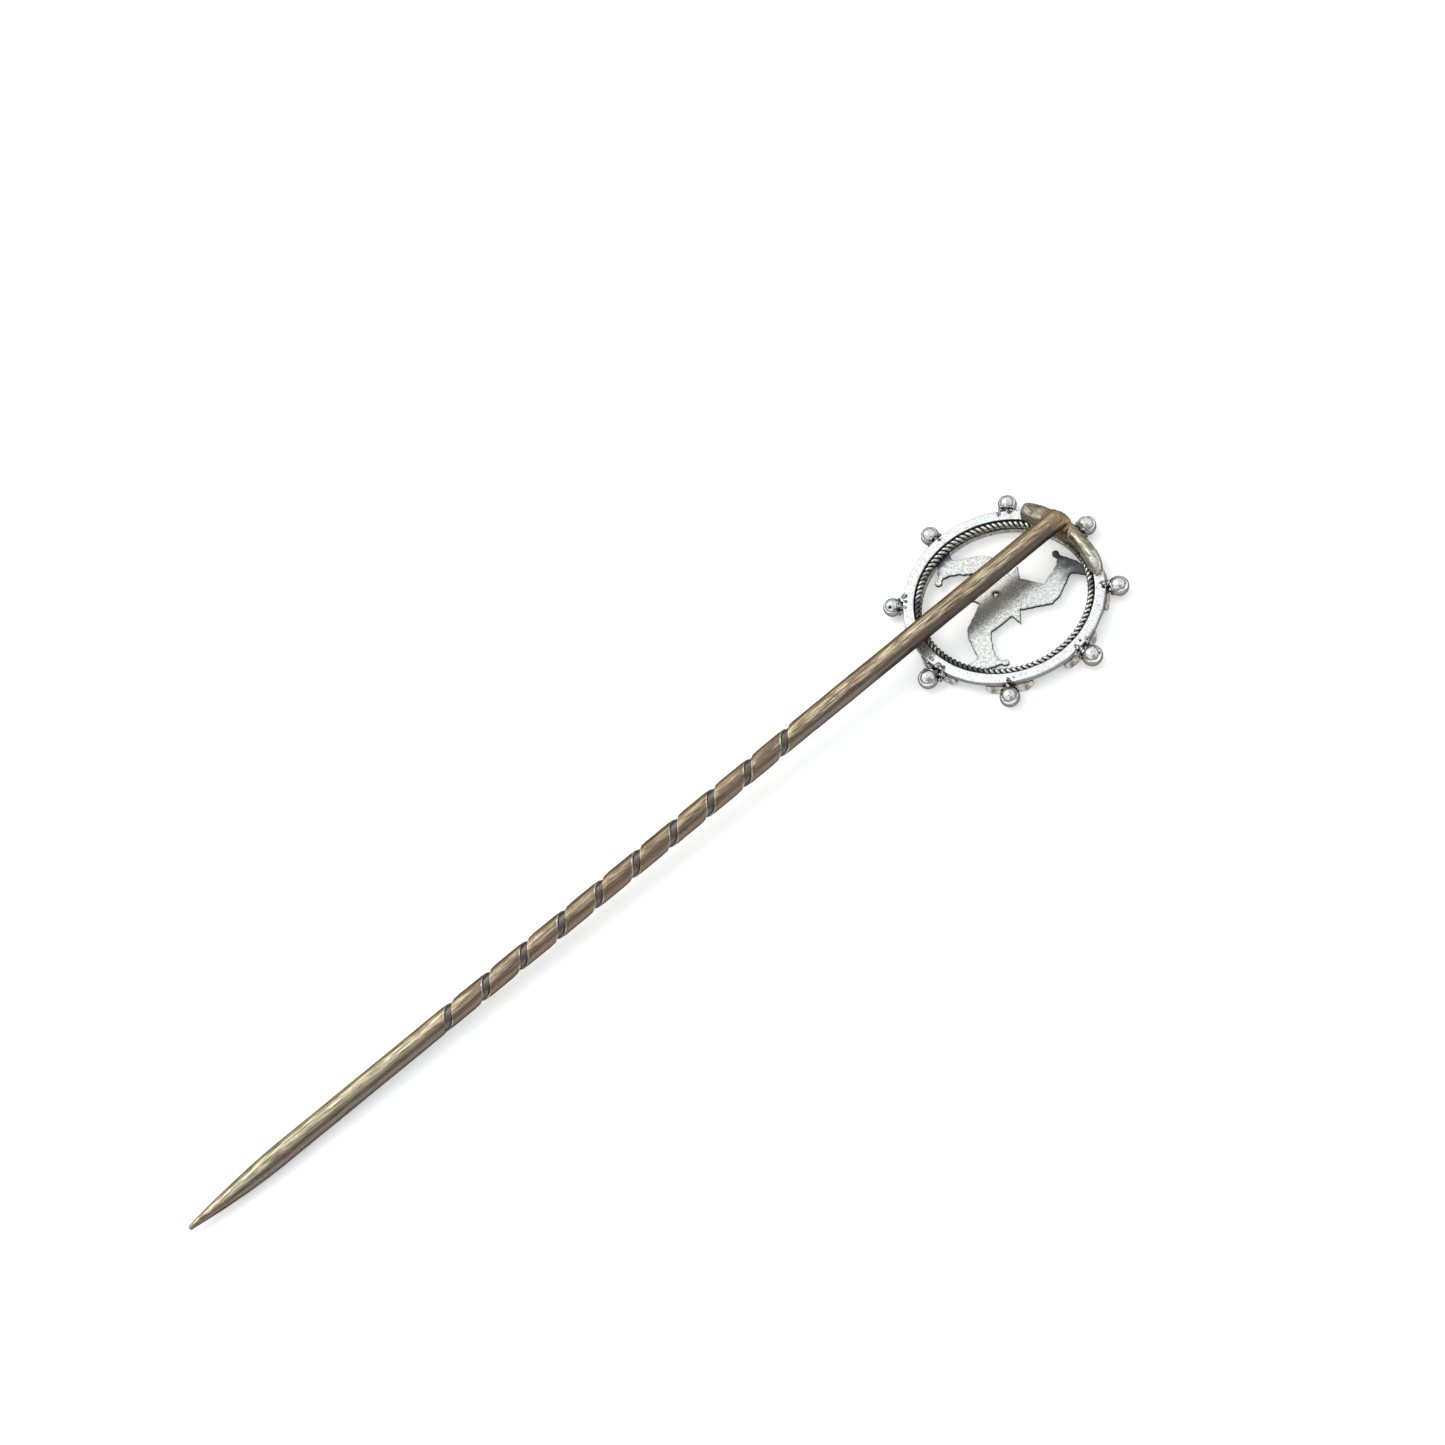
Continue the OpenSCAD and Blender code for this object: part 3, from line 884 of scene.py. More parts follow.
@dataclass
class Joint(Part):
    """The copper filler that runs out round the place where the wire meets the bar."""

    finish = COPPER
    node = "braze_fillet"
    stem: Stem
    bar: Crossbar
    voxel: float = 0.035
    rounds: int = 22
    sides: int = 40
    # Where the filler is reddest, from the end of the wire.
    red: tuple[float, float, float] = (-0.72, -0.72, -0.25)
    # Its sheath on the wire: how far back, and how much thicker than the wire.
    sheath: tuple[tuple[float, float], ...] = (
        (1.35, -0.06), (1.0, 0.0), (0.4, 0.03), (0.1, 0.0), (-0.02, -0.12), (-0.08, -0.34),
    )
    # Its slope to the bar's outer foot: how far on and down from the wire's end, then half sizes.
    slope: tuple[tuple[float, float, float, float], ...] = (
        (-0.7, 0.02, 0.6, 0.58), (-0.25, 0.06, 0.62, 0.56), (0.1, 0.22, 0.6, 0.46),
        (0.32, 0.42, 0.5, 0.3), (0.42, 0.5, 0.3, 0.16),
    )
    # Its layer on the bar: how far it reaches to the right and left of the wire, and its thickness.
    layer: tuple[float, float] = (0.85, 1.25)
    thick: tuple[float, ...] = (-0.05, 0.015, *(0.03,) * 12, 0.01, -0.05)

    def build(self) -> bpy.types.Object:
        """Makes the filler from the wire's end and the bar's middle, run together and eased.

        Returns:
            The piece.
        """
        skin, stem = Skin(), self.stem
        turn = np.linspace(0, TAU, self.sides, endpoint=False)
        ring = hoop(turn, ACROSS, stem.up)
        rows = [
            stem.end - stem.along * back + ring * (stem.radius + swell)
            for back, swell in self.sheath
        ]
        skin.add(np.vstack(rows), tube_faces(len(rows), self.sides))
        rows = [
            stem.end + stem.along * on - stem.up * drop + hoop(turn, ACROSS, stem.up, wide, high)
            for on, drop, wide, high in self.slope
        ]
        skin.add(np.vstack(rows), tube_faces(len(rows), self.sides))
        middle, (right, left) = stem.end[1], self.layer
        ways = np.linspace(middle - right, middle + left, len(self.thick))
        rows = [self.bar.section(float(w), grow) for w, grow in zip(ways, self.thick)]
        skin.add(np.vstack(rows), tube_faces(len(rows), self.bar.sides))
        piece = skin.obj("braze_pool", self.places)
        remesh = piece.modifiers.new("run_together", "REMESH")
        remesh.mode, remesh.voxel_size = "VOXEL", self.voxel * MM
        ease = piece.modifiers.new("ease", "SMOOTH")
        ease.factor, ease.iterations = 0.5, self.rounds
        made = settle(piece)
        points = np.array([tuple(v.co) for v in made.data.vertices])
        points = (points - np.array(self.places.origin)) / MM
        far = np.linalg.norm(points - (stem.end + self.red), axis=1) + 0.12 * ripple(8, 0.5, points)
        back = (stem.end - points) @ stem.along + 0.15 * ripple(9, 0.6, points)
        red, gilt = 1 - smooth_step(far, 0.2, 0.75), smooth_step(back, 0.3, 0.85)
        paint(made.data, {"red": red, "gilt": gilt})
        return made


def settle(piece: bpy.types.Object) -> bpy.types.Object:
    """Turns a piece's modifiers into its mesh.

    Args:
        piece: the piece.

    Returns:
        The same piece, with plain smooth faces.
    """
    graph = bpy.context.evaluated_depsgraph_get()
    mesh = bpy.data.meshes.new_from_object(piece.evaluated_get(graph))
    piece.modifiers.clear()
    old = piece.data
    piece.data = mesh
    bpy.data.meshes.remove(old)
    mesh.name = piece.name
    mesh.polygons.foreach_set("use_smooth", [True] * len(mesh.polygons))
    return piece


@dataclass
class BackRing(Part):
    """The flat ring, with eased edges and a hand-worked back."""

    finish = POLISHED
    node = "back_ring"
    steps: int = 900
    edge: float = 0.07
    dent: float = 0.0025
    pit: float = 0.0008

    def __post_init__(self) -> None:
        """Reads the ring's radii and heights."""
        self.low, self.high = self.places.box(self.node)
        self.outer = (self.high[0] - self.low[0]) / 2
        rim_low, rim_high = self.places.box("front_rim")
        self.inner = (rim_high[0] - rim_low[0]) / 2

    def build(self) -> bpy.types.Object:
        """Makes the ring.

        Returns:
            The piece.
        """
        section = soft_box(self.inner, self.outer, self.low[2], self.high[2], self.edge, 6)
        skin = Skin()
        skin.add(*lathe(section, self.steps))
        points = skin.points
        radius = reach_of(points)
        share = (radius - self.inner) / (self.outer - self.inner)
        way = points[:, :2] / radius[:, None]
        points[:, :2] -= way * (0.012 * (1 + ripple(10, 1.6, points)) * share)[:, None]
        back = smooth_step(points[:, 2], self.low[2], self.high[2])
        dents = self.dent * ripple(11, 0.9, points) + self.pit * ripple(12, 0.25, points)
        points[:, 2] += (dents - 0.004) * back
        # Painted shade: dark along the inner wall and a fainter dark line at the outer edge.
        wall = 1 - smooth_step(radius, self.inner + 0.01, self.inner + 0.05)
        rim = smooth_step(radius, self.outer - 0.075, self.outer - 0.03)
        skin.masks = {"soot": np.maximum(wall, 0.42 * rim)}
        return skin.obj("back_ring_plate", self.places)


@dataclass
class Rope(Part):
    """Two wires twisted together into a ring, right-handed."""

    finish = OXIDE
    node = "rope_wire"
    turns: int = 49
    per_turn: int = 18
    sides: int = 12
    # A wire's share of the rope's thickness: a little over half, so that the two touch.
    share: float = 0.51
    # Where filler has flooded the rope: the middle and half width, in degrees, and how much.
    floods: tuple[Three, ...] = (
        (154.0, 19.0, 0.85), (118.0, 5.0, 0.5), (201.0, 20.0, 0.85), (322.0, 4.0, 0.7),
    )

    def __post_init__(self) -> None:
        """Reads the rope's radius and thickness."""
        low, high = self.places.box(self.node)
        self.thick = (high[2] - low[2]) / 2
        self.height = (high[2] + low[2]) / 2
        self.radius = (high[0] - low[0]) / 2 - self.thick

    def build(self) -> bpy.types.Object:
        """Makes both wires.

        Returns:
            The piece.
        """
        steps = self.turns * self.per_turn
        turn = np.linspace(0, TAU, steps, endpoint=False)
        round_it = np.linspace(0, TAU, self.sides, endpoint=False)
        wire = self.thick * self.share
        orbit = self.thick - wire
        c, v = np.cos(turn), np.sin(turn)
        middle = np.stack([self.radius * c, self.radius * v, np.full(steps, self.height)], -1)
        black = np.tile(1 - smooth_step(np.cos(round_it), 0.25, 0.75), steps)
        for mid, half, amount in self.floods:
            off = np.abs((np.degrees(turn) - mid + 180) % 360 - 180)
            flood = amount * (1 - smooth_step(off, half * 0.7, half * 1.2))
            black = np.maximum(black, np.repeat(flood, self.sides))
        skin = Skin()
        for start in (0.0, math.pi):
            twist = start - self.turns * turn
            out, up = orbit * np.cos(twist), orbit * np.sin(twist)
            far = self.radius + out
            centre = np.stack([far * c, far * v, self.height + up], -1)
            ahead = np.roll(centre, -1, 0) - np.roll(centre, 1, 0)
            ahead /= np.linalg.norm(ahead, axis=1)[:, None]
            away = centre - middle
            away -= ahead * (away * ahead).sum(1)[:, None]
            away /= np.linalg.norm(away, axis=1)[:, None]
            across = np.cross(ahead, away)
            ring = away[:, None] * np.cos(round_it)[:, None]
            ring = ring + across[:, None] * np.sin(round_it)[:, None]
            points = centre[:, None] + ring * wire
            skin.add(points.reshape(-1, 3), tube_faces(steps, self.sides, closed=True))
        skin.masks = {"soot": np.tile(black, 2)}
        return skin.obj("rope_twist", self.places, crease=80.0)


@dataclass
class Rim(Part):
    """The thin ring in front of the rope."""

    finish = OXIDE
    node = "front_rim"
    steps: int = 480
    edge: float = 0.05
    band: float = 0.31

    def build(self) -> bpy.types.Object:
        """Makes the rim.

        Returns:
            The piece.
        """
        low, high = self.places.box(self.node)
        outer = (high[0] - low[0]) / 2
        skin = Skin()
        skin.add(*lathe(soft_box(outer - self.band, outer, low[2], high[2], self.edge), self.steps))
        points = skin.points
        points[:, 2] += 0.006 * ripple(20, 0.8, points)
        soot = smooth_step(reach_of(points), outer - 0.26, outer - 0.12)
        skin.masks = {"soot": 0.75 * soot}
        return skin.obj("front_rim_ring", self.places)


@dataclass
class Legs(Part):
    """The badge of three bent legs, sawn by hand from one sheet."""

    finish = SATIN
    node = "legs_plate"
    hub: tuple[float, float] = (0.08, 0.25)
    first: float = -45.0
    knee: tuple[float, float] = (2.6, 0.0)
    slack: float = -16.0
    reach: float = 5.05
    bevel: float = 0.045
    grid: float = 0.16
    saw_step: float = 0.045
    # The pierced mark: its middle, its size, and how far its sides bow in.
    mark: tuple[float, float] = (-0.13, 0.67)
    mark_r: float = 0.32 * 0.577
    bows: tuple[float, ...] = (1.0, 0.72, 0.6, 0.72) * 3
    # Middle of the warm tan, rougher patch near the hub.
    stain: tuple[float, float] = (-0.3, 1.0)

    # Outline of one leg with its thigh along +X, in order: thigh, then what turns with the calf.
    FRONT = ((1.07, -0.93), (1.9, -0.74), (2.55, -0.6), (2.95, -0.5))
    LOWER = (
        (3.1, -0.25), (3.3, 0.0), (3.46, 0.52), (3.66, 1.16), (3.72, 1.42), (3.83, 1.55),
        (4.05, 1.56), (4.29, 1.5), (4.6, 1.44), (5.4, 1.36), (5.4, 1.78), (4.83, 1.9),
        (4.58, 2.06), (4.35, 2.17), (4.12, 2.36), (3.85, 2.5), (3.63, 2.56), (3.45, 2.68),
        (3.27, 2.7), (3.12, 2.76), (3.04, 2.84),
    )
    HEEL = (
        (2.84, 2.66), (2.93, 2.5), (2.91, 2.35), (2.93, 2.2), (2.9, 2.06), (2.8, 1.86), (2.77, 1.7),
    )
    CALF = ((2.66, 1.5), (2.54, 1.4), (2.5, 1.22), (2.43, 1.1))
    BACK = ((2.3, 0.79), (1.75, 0.98), (1.3, 1.1), (0.87, 1.21))
    SPUR = ((2.78, 2.9), 0.21)
    # Tips of the small points beside each thigh, about the middle of the head.
    TIPS = ((-0.38, -1.94), (1.98, 1.25), (-1.55, 1.65))
    def outline(self) -> Points:
        """Gives the badge's outline, corner by corner, about the middle of the head."""
        (cx, cy), r = self.SPUR
        spur = [
            (cx + r * math.cos(math.radians(a)), cy + r * math.sin(math.radians(a)))
            for a in range(10, 285, 24)
        ]
        found: list[Points] = []
        for i, slack in enumerate((0.0, 0.0, self.slack)):
            lower = np.array([*self.LOWER, *spur, *self.HEEL, *self.CALF])
            lower = turned(lower - self.knee, slack) + self.knee
            leg = np.vstack([self.FRONT, lower, self.BACK])
            leg = turned(leg, self.first + 120 * i) + self.hub
            reach = np.hypot(leg[:, 0], leg[:, 1])
            leg *= np.minimum(1, self.reach / reach)[:, None]
            found.append(np.array([self.TIPS[i]]))
            found.append(leg)
        return np.vstack(found)

    def worked(self) -> Points:
        """Gives the outline in short steps, with eased corners and a sawn wobble."""
        corners = self.outline()
        rows = []
        for a, b in zip(corners, np.roll(corners, -1, 0)):
            count = max(1, round(float(np.linalg.norm(b - a)) / self.saw_step))
            rows += [a + (b - a) * k / count for k in range(count)]
        line = np.array(rows)
        for _ in range(2):
            line = 0.5 * line + 0.25 * (np.roll(line, 1, 0) + np.roll(line, -1, 0))
        flat = np.column_stack([line, np.zeros(len(line))])
        way = outward(line)
        return line + way * (0.012 * ripple(30, 0.45, flat))[:, None]

    def build(self) -> bpy.types.Object:
        """Makes the badge: both faces, an eased edge all round, and the pierced mark.

        Returns:
            The piece.
        """
        low, high = self.places.box(self.node)
        edge = self.worked()
        turns = math.radians(90) - TAU * np.arange(len(self.bows)) / len(self.bows)
        hole = self.mark_r * np.column_stack([np.cos(turns), np.sin(turns)])
        hole = np.array(self.mark) + hole * np.array(self.bows)[:, None]
        loops = [edge, hole]
        inner = [loop - outward(loop) * self.bevel for loop in loops]
        start, end = edge.min(0), edge.max(0)
        lines = (np.arange(a, b, self.grid) for a, b in zip(start, end))
        grid = np.stack(np.meshgrid(*lines), -1).reshape(-1, 2)
        keep = inside(grid, inner[0]) & ~inside(grid, inner[1])
        for loop in inner:
            gaps = np.linalg.norm(grid[:, None] - loop[None], axis=2)
            keep &= np.min(gaps, axis=1) > self.grid * 0.45
        n0, n1 = len(edge), len(hole)
        links = [(i, (i + 1) % n0) for i in range(n0)]
        links += [(n0 + i, n0 + (i + 1) % n1) for i in range(n1)]
        flat = [Vector(p) for p in np.vstack([*inner, grid[keep]])]
        made, _, faces, source, _, _ = delaunay_2d_cdt(flat, links, [], 0, 1e-7)
        flat = np.array([tuple(v) for v in made])
        at = {old: new for new, olds in enumerate(source) for old in olds}
        middles = flat[np.array(faces)].mean(1)
        keep = inside(middles, inner[0]) & ~inside(middles, inner[1])
        good = [tuple(f) for f, kept in zip(faces, keep) if kept]
        count, walls = len(flat), np.vstack(loops)
        top = np.column_stack([flat, np.full(count, high[2])])
        top[:, 2] += 0.0022 * ripple(31, 1.1, top) - 0.004
        bottom = np.column_stack([flat, np.full(count, low[2])])
        heights = (high[2] - self.bevel, low[2] + self.bevel)
        upper, lower = (np.column_stack([walls, np.full(len(walls), z)]) for z in heights)
        points = np.vstack([top, bottom, upper, lower])
        shells: Faces = [*good, *(tuple(i + count for i in reversed(f)) for f in good)]
        up, down = 2 * count, 2 * count + len(walls)
        for i, j in links:
            shells.append((at[i], up + i, up + j, at[j]))
            shells.append((up + i, down + i, down + j, up + j))
            shells.append((down + i, count + at[i], count + at[j], down + j))
        skin = Skin()
        skin.add(points, shells)
        skin.masks = self.masks(points)
        # Painted shade: a faint dark line round the top edges, dark round the pierced mark, and the side
        # walls dark all over.
        rim = [at[i] for i in range(n0 + n1)]
        soot = skin.masks["soot"]
        soot[rim] = np.maximum(soot[rim], 0.15)
        near = np.linalg.norm(points[:, :2] - self.mark, axis=1)
        soot[:] = np.maximum(soot, 1 - smooth_step(near, 0.2, 0.3))
        soot[up:] = 1.0
        return skin.obj("legs_badge", self.places, crease=30.0)

    def masks(self, points: Points) -> dict[str, Points]:
        """Gives painted dark reflection and shade on the feet and outer ends, and the warm tan patch
        near the hub, for each point.
        """
        reach = reach_of(points)
        turn = np.degrees(np.arctan2(points[:, 1], points[:, 0]))
        uneven = 0.15 * ripple(32, 0.7, points)
        # Painted dark reflection on one foot, painted shade on a toe by the rope, and painted shade
        # round the outer ends.
        dark_foot_reflection = smooth_step(reach + uneven, 3.1, 4.3) * (1 - smooth_step(np.abs(turn + 14), 18, 32))
        toe_shade = smooth_step(reach + uneven, 4.2, 4.6) * (1 - smooth_step(np.abs(turn - 95), 14, 24))
        far = np.linalg.norm(points[:, :2] - self.stain, axis=1)
        return {
            "soot": np.maximum.reduce([0.95 * dark_foot_reflection, 0.9 * toe_shade, 0.8 * smooth_step(reach, 4.7, 4.95)]),
            "stain": 0.7 * (1 - smooth_step(far + uneven, 0.9, 2.0)),
        }


def turned(points: Points, degrees: float) -> Points:
    """Turns flat points about the origin, counter-clockwise."""
    c, s = math.cos(math.radians(degrees)), math.sin(math.radians(degrees))
    return np.asarray(points, float) @ np.array(((c, s), (-s, c)))


def outward(loop: Points) -> Points:
    """Gives the outward direction at each point of a counter-clockwise loop."""
    ahead = np.roll(loop, -1, 0) - np.roll(loop, 1, 0)
    ahead /= np.linalg.norm(ahead, axis=1)[:, None]
    return np.column_stack([ahead[:, 1], -ahead[:, 0]])


def inside(points: Points, loop: Points) -> Points:
    """Tells which points lie in a loop.

    Args:
        points: (x, y) pairs.
        loop: the loop's corners in order.

    Returns:
        True for each that does.
    """
    a, b = loop, np.roll(loop, -1, 0)
    x, y = points[:, 0][:, None], points[:, 1][:, None]
    span = (a[:, 1] > y) != (b[:, 1] > y)
    with np.errstate(divide="ignore", invalid="ignore"):
        cross = (b[:, 0] - a[:, 0]) * (y - a[:, 1]) / (b[:, 1] - a[:, 1]) + a[:, 0]
    return (span & (x < cross)).sum(1) % 2 == 1


@dataclass
class BeadSet:
    """The eight beads, each on its rough neck, and the tabs in front of them."""

    places: Places
    ring: BackRing
    # Pits in the beads: bead, direction, how wide and how deep.
    pits: tuple[tuple[int, Three, float, float], ...] = (
        (4, (-0.42, -0.33, 0.84), 0.2, 0.16), (7, (0.55, -0.59, 0.59), 0.15, 0.2),
        (1, (-0.1, -0.75, 0.65), 0.5, 0.05), (5, (-0.2, -0.75, 0.63), 0.4, 0.06),
    )
    # Pits deeper than this are darkened inside.
    darkened_pit_depth: float = 0.1
    # Lumps of filler at each neck, from bead 1: how many, how far they spread, and how big.
    lumps: tuple[tuple[int, float, float], ...] = (
        (5, 0.35, 0.13), (12, 0.5, 0.15), (6, 0.36, 0.14), (12, 0.5, 0.14),
        (20, 0.66, 0.16), (6, 0.36, 0.13), (18, 0.6, 0.15), (12, 0.5, 0.15),
    )
    # Drops of filler on the plate at the bar's right end, told with one neck: x, y and size.
    spill_at: int = 8
    spills: tuple[Three, ...] = (
        (4.78, -2.58, 0.13), (4.95, -2.72, 0.11), (4.66, -2.78, 0.1), (5.1, -2.6, 0.09),
        (4.86, -2.93, 0.08),
    )
    neck_sides: int = 40
    neck_rings: int = 10
    neck_r: float = 0.5
    neck_waist: float = 0.2
    # Tabs: half their width, the chamfer at each end, their eased edge, and how far the foot flares.
    half: float = 1.37
    chamfer: float = 0.32
    ease: float = 0.03
    flare: float = 0.1
    tab_rings: int = 61
    # A punched hollow near each end of a tab: depth, distance from the end, and height.
    hollow: tuple[float, float, float] = (0.14, 0.46, 0.22)

    def __post_init__(self) -> None:
        """Makes the balls that the beads and the lumps start from."""
        self.fine, self.fine_faces = ball(5)
        self.rough, self.rough_faces = ball(3)

    def where(self, number: int) -> tuple[Points, float]:
        """Gives a bead's middle and radius."""
        low, high = self.places.box(f"bead_{number}")
        return (low + high) / 2, float(np.mean(high - low)) / 2

    def bead(self, number: int) -> bpy.types.Object:
        """Makes one bead, a little out of round and pitted.

        Args:
            number: which bead.

        Returns:
            The piece.
        """
        middle, radius = self.where(number)
        way = self.fine
        shrink = 0.012 + 0.012 * ripple(40 + number, 2.4, way) + 0.006 * ripple(49 + number, 0.6, way)
        soot = np.zeros(len(way))
        for which, face, wide, deep in self.pits:
            if which == number:
                aim = np.array(face) / np.linalg.norm(face)
                apart = np.arccos(np.clip(way @ aim, -1, 1))
                shrink = shrink + deep * np.exp(-((apart / wide) ** 2))
                if deep > self.darkened_pit_depth:
                    soot = 1 - smooth_step(apart, wide * 0.7, wide * 1.3)
        skin = Skin()
        skin.add(middle + way * (radius * (1 - np.maximum(shrink, 0)))[:, None], self.fine_faces)
        skin.masks = {"soot": soot}
        return skin.obj(f"silver_bead_{number}", self.places, crease=80.0)

    def neck(self, number: int) -> bpy.types.Object:
        """Makes one neck: a flared collar and lumps of filler round its foot.

        Args:
            number: which bead.

        Returns:
            The piece.
        """
        middle, radius = self.where(number)
        out = np.array((middle[0], middle[1], 0.0))
        out /= np.linalg.norm(out)
        side = np.array((-out[1], out[0], 0.0))
        draw = np.random.default_rng(SEED + 60 + number)
        turn = np.linspace(0, TAU, self.neck_sides, endpoint=False)
        reach = float(middle @ out)
        outer, back = self.ring.outer, self.ring.high[2]
        foot, top = outer - 0.1, reach - radius * 0.62
        rows = []
        for t in np.linspace(0, 1, self.neck_rings):
            size = self.neck_r - self.neck_waist * math.sin(math.pi * min(1.0, t * 1.15)) + 0.02 * t
            ring = hoop(turn, side, UP, size, size * (0.62 if t < 0.35 else 0.85))
            rows.append(out * (foot + (top - foot) * t) + UP * middle[2] + ring)
        points = np.vstack(rows)
        away = points - (out * reach + UP * middle[2])
        away /= np.linalg.norm(away, axis=1)[:, None]
        points += 0.05 * ripple(70 + number, 0.35, points)[:, None] * away
        skin = Skin()
        skin.add(points, tube_faces(len(rows), len(turn)))
        # Painted shade at the neck's foot, where it meets the ring.
        soot = [1 - smooth_step(points @ out, foot + 0.12, foot + 0.34)]
        count, spread, big = self.lumps[number - 1]
        # Painted shade on the underside of each lump; every fourth lump is also dark all over.
        low = smooth_step(-self.rough[:, 2], 0.0, 0.6)
        for k in range(count):
            size = big * draw.uniform(0.55, 1.15)
            across = draw.uniform(-1, 1) * spread
            if k % 3 == 2:
                at = out * draw.uniform(outer - 0.3, outer - 0.05) + UP * (back - size * 0.35)
            else:
                at = out * draw.uniform(outer - 0.02, top) + UP * (middle[2] + draw.uniform(-0.05, 0.32))
            shape = self.rough * size * draw.uniform(0.7, 1.3, 3)
            shape = shape * (1 + 0.18 * ripple(80 + 10 * number + k, 0.9, self.rough))[:, None]
            skin.add(at + side * across + shape, self.rough_faces)
            soot.append(np.maximum(low, 0.7 * (k % 4 == 1)))
        for x, y, size in self.spills if number == self.spill_at else ():
            shape = self.rough * size * draw.uniform(0.75, 1.25, 3)
            skin.add(np.array((x, y, back - size * 0.3)) + shape, self.rough_faces)
            # Painted shade on the underside of each drop.
            soot.append(smooth_step(-self.rough[:, 2], -0.5, 0.3))
        skin.masks = {"soot": np.concatenate(soot)}
        return skin.obj(f"solder_neck_{number}", self.places, crease=80.0)

    def tab(self, number: int) -> bpy.types.Object:
        """Makes one tab, a curved block with chamfered and hollowed front corners.

        Args:
            number: which bead it stands by.

        Returns:
            The piece.
        """
        middle, _ = self.where(number)
        high, inner, outer = self.ring.low[2], self.ring.inner, self.ring.outer
        half, ease, (deep, inset, lift) = self.half, self.ease, self.hollow
        rows, soot = [], []
        for a in (-half, *np.linspace(-half + ease, half - ease, self.tab_rings), half):
            from_end = abs(a) - half
            low = max(0.0, from_end + self.chamfer) * 0.97
            grow = ease if abs(from_end) < 1e-6 else 0.0
            section = soft_box(inner + grow, outer - grow, low + grow, high, ease, 10)
            reach, up = section.T
            hollow = np.exp(-(((from_end + inset) / 0.1) ** 2)) * deep
            near = smooth_step(reach, outer - 0.05, outer - 0.01)
            reach -= hollow * near * np.exp(-(((up - low - lift) / 0.11) ** 2))
            reach += self.flare * near * (1 - up / high)
            # Painted shade: dark lines along the tab's top and bottom edges, at its ends and along the
            # chamfer's fold, and inside the punched hollow.
            line = smooth_step(up, high - 0.09, high - 0.04)
            line = np.maximum(line, 1 - smooth_step(up - low, 0.01, 0.05))
            ends = 0.8 * float(smooth_step(abs(a), half - 0.06, half - 0.02))
            fold = 0.6 * math.exp(-(((from_end + self.chamfer) / 0.04) ** 2))
            soot.append(np.maximum.reduce([0.9 * line, line * 0 + max(ends, fold), 4 * hollow * near]))
            lean = math.atan2(middle[1], middle[0]) + math.asin(a / outer)
            rows.append(np.column_stack([reach * math.cos(lean), reach * math.sin(lean), up]))
        skin = Skin()
        skin.add(np.vstack(rows), tube_faces(len(rows), len(rows[0])))
        points = skin.points
        way = points[:, :2] / reach_of(points)[:, None]
        points[:, :2] -= way * (0.012 * (1 + ripple(90 + number, 0.5, points)))[:, None]
        skin.masks = {"soot": np.clip(np.concatenate(soot), 0, 1)}
        return skin.obj(f"wall_tab_{number}", self.places, crease=35.0)

    def dress(self, finishes: Finishes) -> None:
        """Builds every bead, neck and tab and gives each its finish."""
        for number in BEADS:
            finishes.dress(self.bead(number), BEAD, f"bead_{number}")
            finishes.dress(self.neck(number), SOLDER, f"bead_neck_{number}")
            finishes.dress(self.tab(number), TARNISH, f"front_tab_{number}")


@dataclass(frozen=True)
class CameraSpec:
    """Where the camera stands, in millimetres about the middle of the head's back, and degrees."""

    aim: tuple[float, float, float] = (-16.9775, 5.0921, 0.0)
    azimuth: float = -16.3
    elevation: float = 56.06
    roll: float = 24.67
    distance: float = 201.18
    lens: float = 87.197
    sensor: float = 36.0

    def place(self, places: Places) -> None:
        """Makes the scene's camera.

        Args:
            places: where the CAD nodes are.
        """
        a, e, r = (math.radians(v) for v in (self.azimuth, self.elevation, self.roll))
        back = Vector((math.sin(a) * math.cos(e), -math.cos(a) * math.cos(e), math.sin(e)))
        right = Vector((math.cos(a), math.sin(a), 0.0))
        up = back.cross(right)
        right, up = right * math.cos(r) - up * math.sin(r), up * math.cos(r) + right * math.sin(r)
        height = places.box("back_ring")[1][2]
        aim = Vector(places.row(np.array(self.aim) + (0, 0, height)))
        data = bpy.data.cameras.new("camera")
        data.sensor_width, data.lens = self.sensor, self.lens
        data.clip_start, data.clip_end = 0.005, 5.0
        camera = placed("camera", data)
        turn = Matrix((right, up, back)).transposed().to_4x4()
        camera.matrix_world = Matrix.Translation(aim + back * self.distance * MM) @ turn
        bpy.context.scene.camera = camera


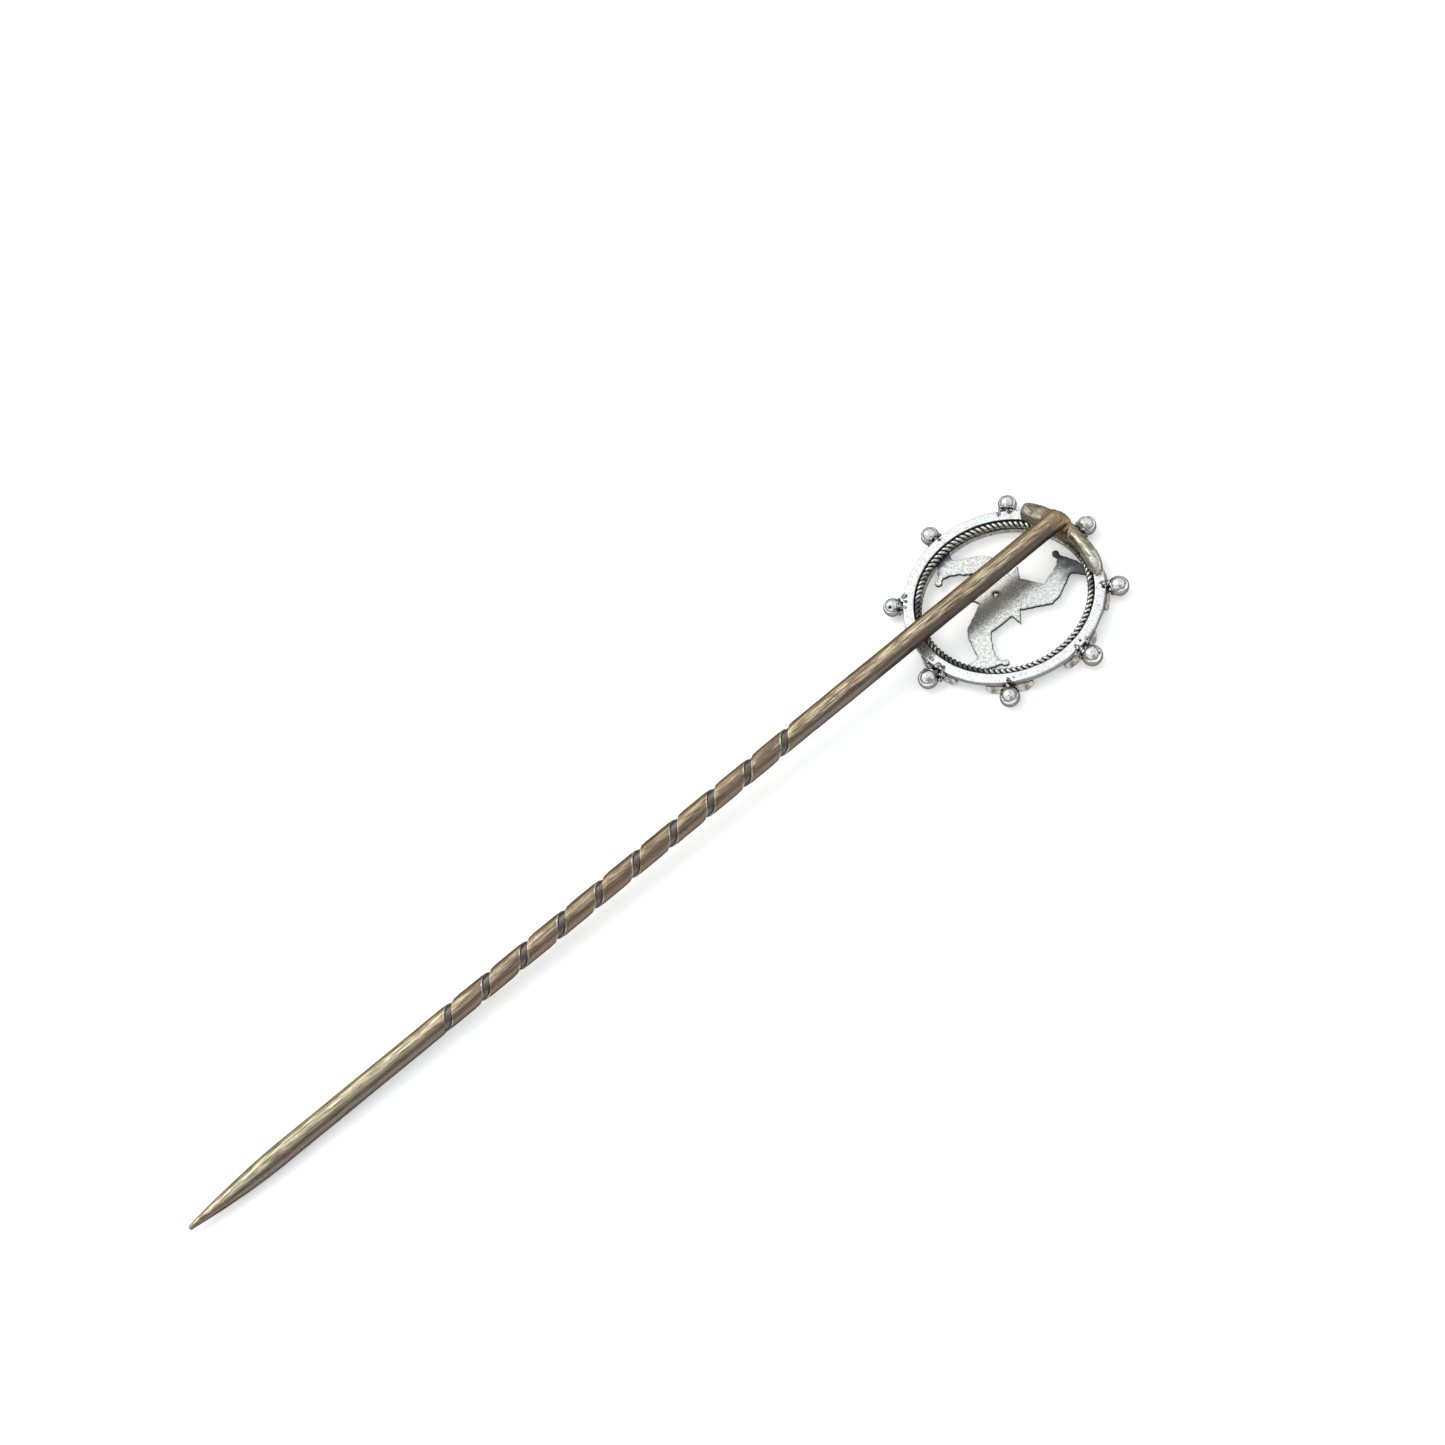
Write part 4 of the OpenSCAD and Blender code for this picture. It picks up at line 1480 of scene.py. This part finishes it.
@dataclass
class Studio:
    """A pale table, soft white light all round, and the dim shapes that metal mirrors."""

    places: Places
    table_reach: float = 3.0
    table_glow: float = 0.3
    # A dim card, in millimetres about the head's middle, which it faces.
    card_at: Three = (-45.0, -190.0, 125.0)
    card_half: tuple[float, float] = (75.0, 125.0)
    card_glow: float = 0.4
    # The dim wall of the room, in metres.
    wall_r: float = 0.5
    wall_h: float = 0.2
    wall_glow: float = 0.32
    # The head's soft shade on the table, in millimetres.
    shade_r: float = 8.6
    shade_z: float = 0.004
    shade_glow: float = 0.42
    sky: Three = (0.97, 0.99, 1.0)
    sky_strength: float = 0.92
    lamp_at: Three = (-0.1, 0.28, 0.42)
    lamp_size: float = 0.36
    lamp_energy: float = 0.75
    lamp_tint: Three = (1.0, 0.97, 0.93)

    def sheet(
        self, name: str, points: list, faces: Faces, tree: Tree, shader: bpy.types.Node
    ) -> bpy.types.Object:
        """Makes a piece of the stage.

        Args:
            name: its name.
            points: its points.
            faces: its faces.
            tree: its material's nodes.
            shader: the last of them.

        Returns:
            The object.
        """
        mesh = bpy.data.meshes.new(name)
        mesh.from_pydata(points, [], faces)
        mesh.materials.append(tree.close(shader))
        made = placed(name, mesh)
        return made

    def floor(self) -> None:
        """Lays the table."""
        tree = Tree("pale_table")
        shader = tree.add("ShaderNodeBsdfPrincipled")
        shader.inputs["Roughness"].default_value = 0.6
        place = tree.add("ShaderNodeTexCoord").outputs["Object"]
        tones = [(0.3, (0.93, 0.94, 0.94)), (0.7, (0.95, 0.95, 0.95))]
        tree.join(tree.ramp(tree.noise(place, 400.0, 3.0, 0.6), tones), shader.inputs["Base Color"])
        shader.inputs["Emission Color"].default_value = (1.0, 1.0, 1.0, 1.0)
        shader.inputs["Emission Strength"].default_value = self.table_glow
        far = self.table_reach
        corners = [(-far, -far, 0), (far, -far, 0), (far, far, 0), (-far, far, 0)]
        self.sheet("table", corners, [(0, 1, 2, 3)], tree, shader).location.z = -0.01 * MM

    def mirrored(self, name: str, points: list, faces: Faces, glow: float) -> bpy.types.Object:
        """Makes a dim shape that shows in metal and nowhere else.

        Args:
            name: its name.
            points: its points.
            faces: its faces.
            glow: how light it is.

        Returns:
            The object.
        """
        tree = Tree(name)
        shader = tree.add("ShaderNodeEmission")
        shader.inputs["Color"].default_value = (glow, glow * 0.95, glow * 0.9, 1.0)
        shape = self.sheet(name, points, faces, tree, shader)
        shape.visible_camera = shape.visible_diffuse = shape.visible_shadow = False
        return shape

    def shapes(self) -> None:
        """Stands the card and the wall, and lays the shade."""
        w, h = (half * MM for half in self.card_half)
        corners = [(-w, -h, 0), (w, -h, 0), (w, h, 0), (-w, h, 0)]
        card = self.mirrored("card_0", corners, [(0, 1, 2, 3)], self.card_glow)
        card.location = self.places.row(self.card_at)
        card.rotation_mode = "QUATERNION"
        facing = Vector(self.places.row((0.0, 0.0, 0.0))) - card.location
        card.rotation_quaternion = facing.to_track_quat("Z", "Y")

        turn = np.linspace(0, TAU, 48, endpoint=False)
        ring = np.column_stack([np.cos(turn) * self.wall_r, np.sin(turn) * self.wall_r])
        count = len(turn)
        points = [(x, y, z) for z in (0.0, self.wall_h) for x, y in ring]
        sides = [(i, (i + 1) % count, count + (i + 1) % count, count + i) for i in range(count)]
        self.mirrored("wall", points, sides, self.wall_glow)

        turn = np.linspace(0, TAU, 64, endpoint=False)
        ring = np.column_stack([np.cos(turn), np.sin(turn), np.full(len(turn), self.shade_z)])
        points = self.places.row(ring * (self.shade_r, self.shade_r, 1.0)).tolist()
        self.mirrored("shade", points, [tuple(range(len(turn)))], self.shade_glow)

    def light(self) -> None:
        """Lights the scene: a white sky and one broad soft lamp."""
        world = bpy.data.worlds.new("sky")
        bpy.context.scene.world = world
        world.use_nodes = True
        back = world.node_tree.nodes["Background"]
        back.inputs["Color"].default_value = (*self.sky, 1.0)
        back.inputs["Strength"].default_value = self.sky_strength
        lamp = bpy.data.lights.new("soft_lamp", "AREA")
        lamp.shape, lamp.size = "DISK", self.lamp_size
        lamp.energy, lamp.color = self.lamp_energy, self.lamp_tint
        made = placed("soft_lamp", lamp)
        made.rotation_mode = "QUATERNION"
        made.location = self.lamp_at
        made.rotation_quaternion = Vector(self.lamp_at).to_track_quat("Z", "Y")
        made.visible_camera = False

    def build(self) -> None:
        """Sets the whole stage."""
        self.floor()
        self.shapes()
        self.light()
        view = bpy.context.scene.view_settings
        view.view_transform, view.look = "Standard", "None"


def main() -> None:
    """Builds the pin, its stage and its camera."""
    logging.basicConfig(level=logging.INFO, format="%(message)s")
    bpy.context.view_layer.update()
    places = Places()
    finishes = Finishes()
    stem, bar, ring = Stem(places), Crossbar(places), BackRing(places)
    parts = [stem, bar, Joint(places, stem, bar), ring, Rope(places), Rim(places), Legs(places)]
    for part in (*parts, BeadSet(places, ring)):
        part.dress(finishes)
    Studio(places).build()
    CameraSpec().place(places)


if __name__ == "__main__":
    main()
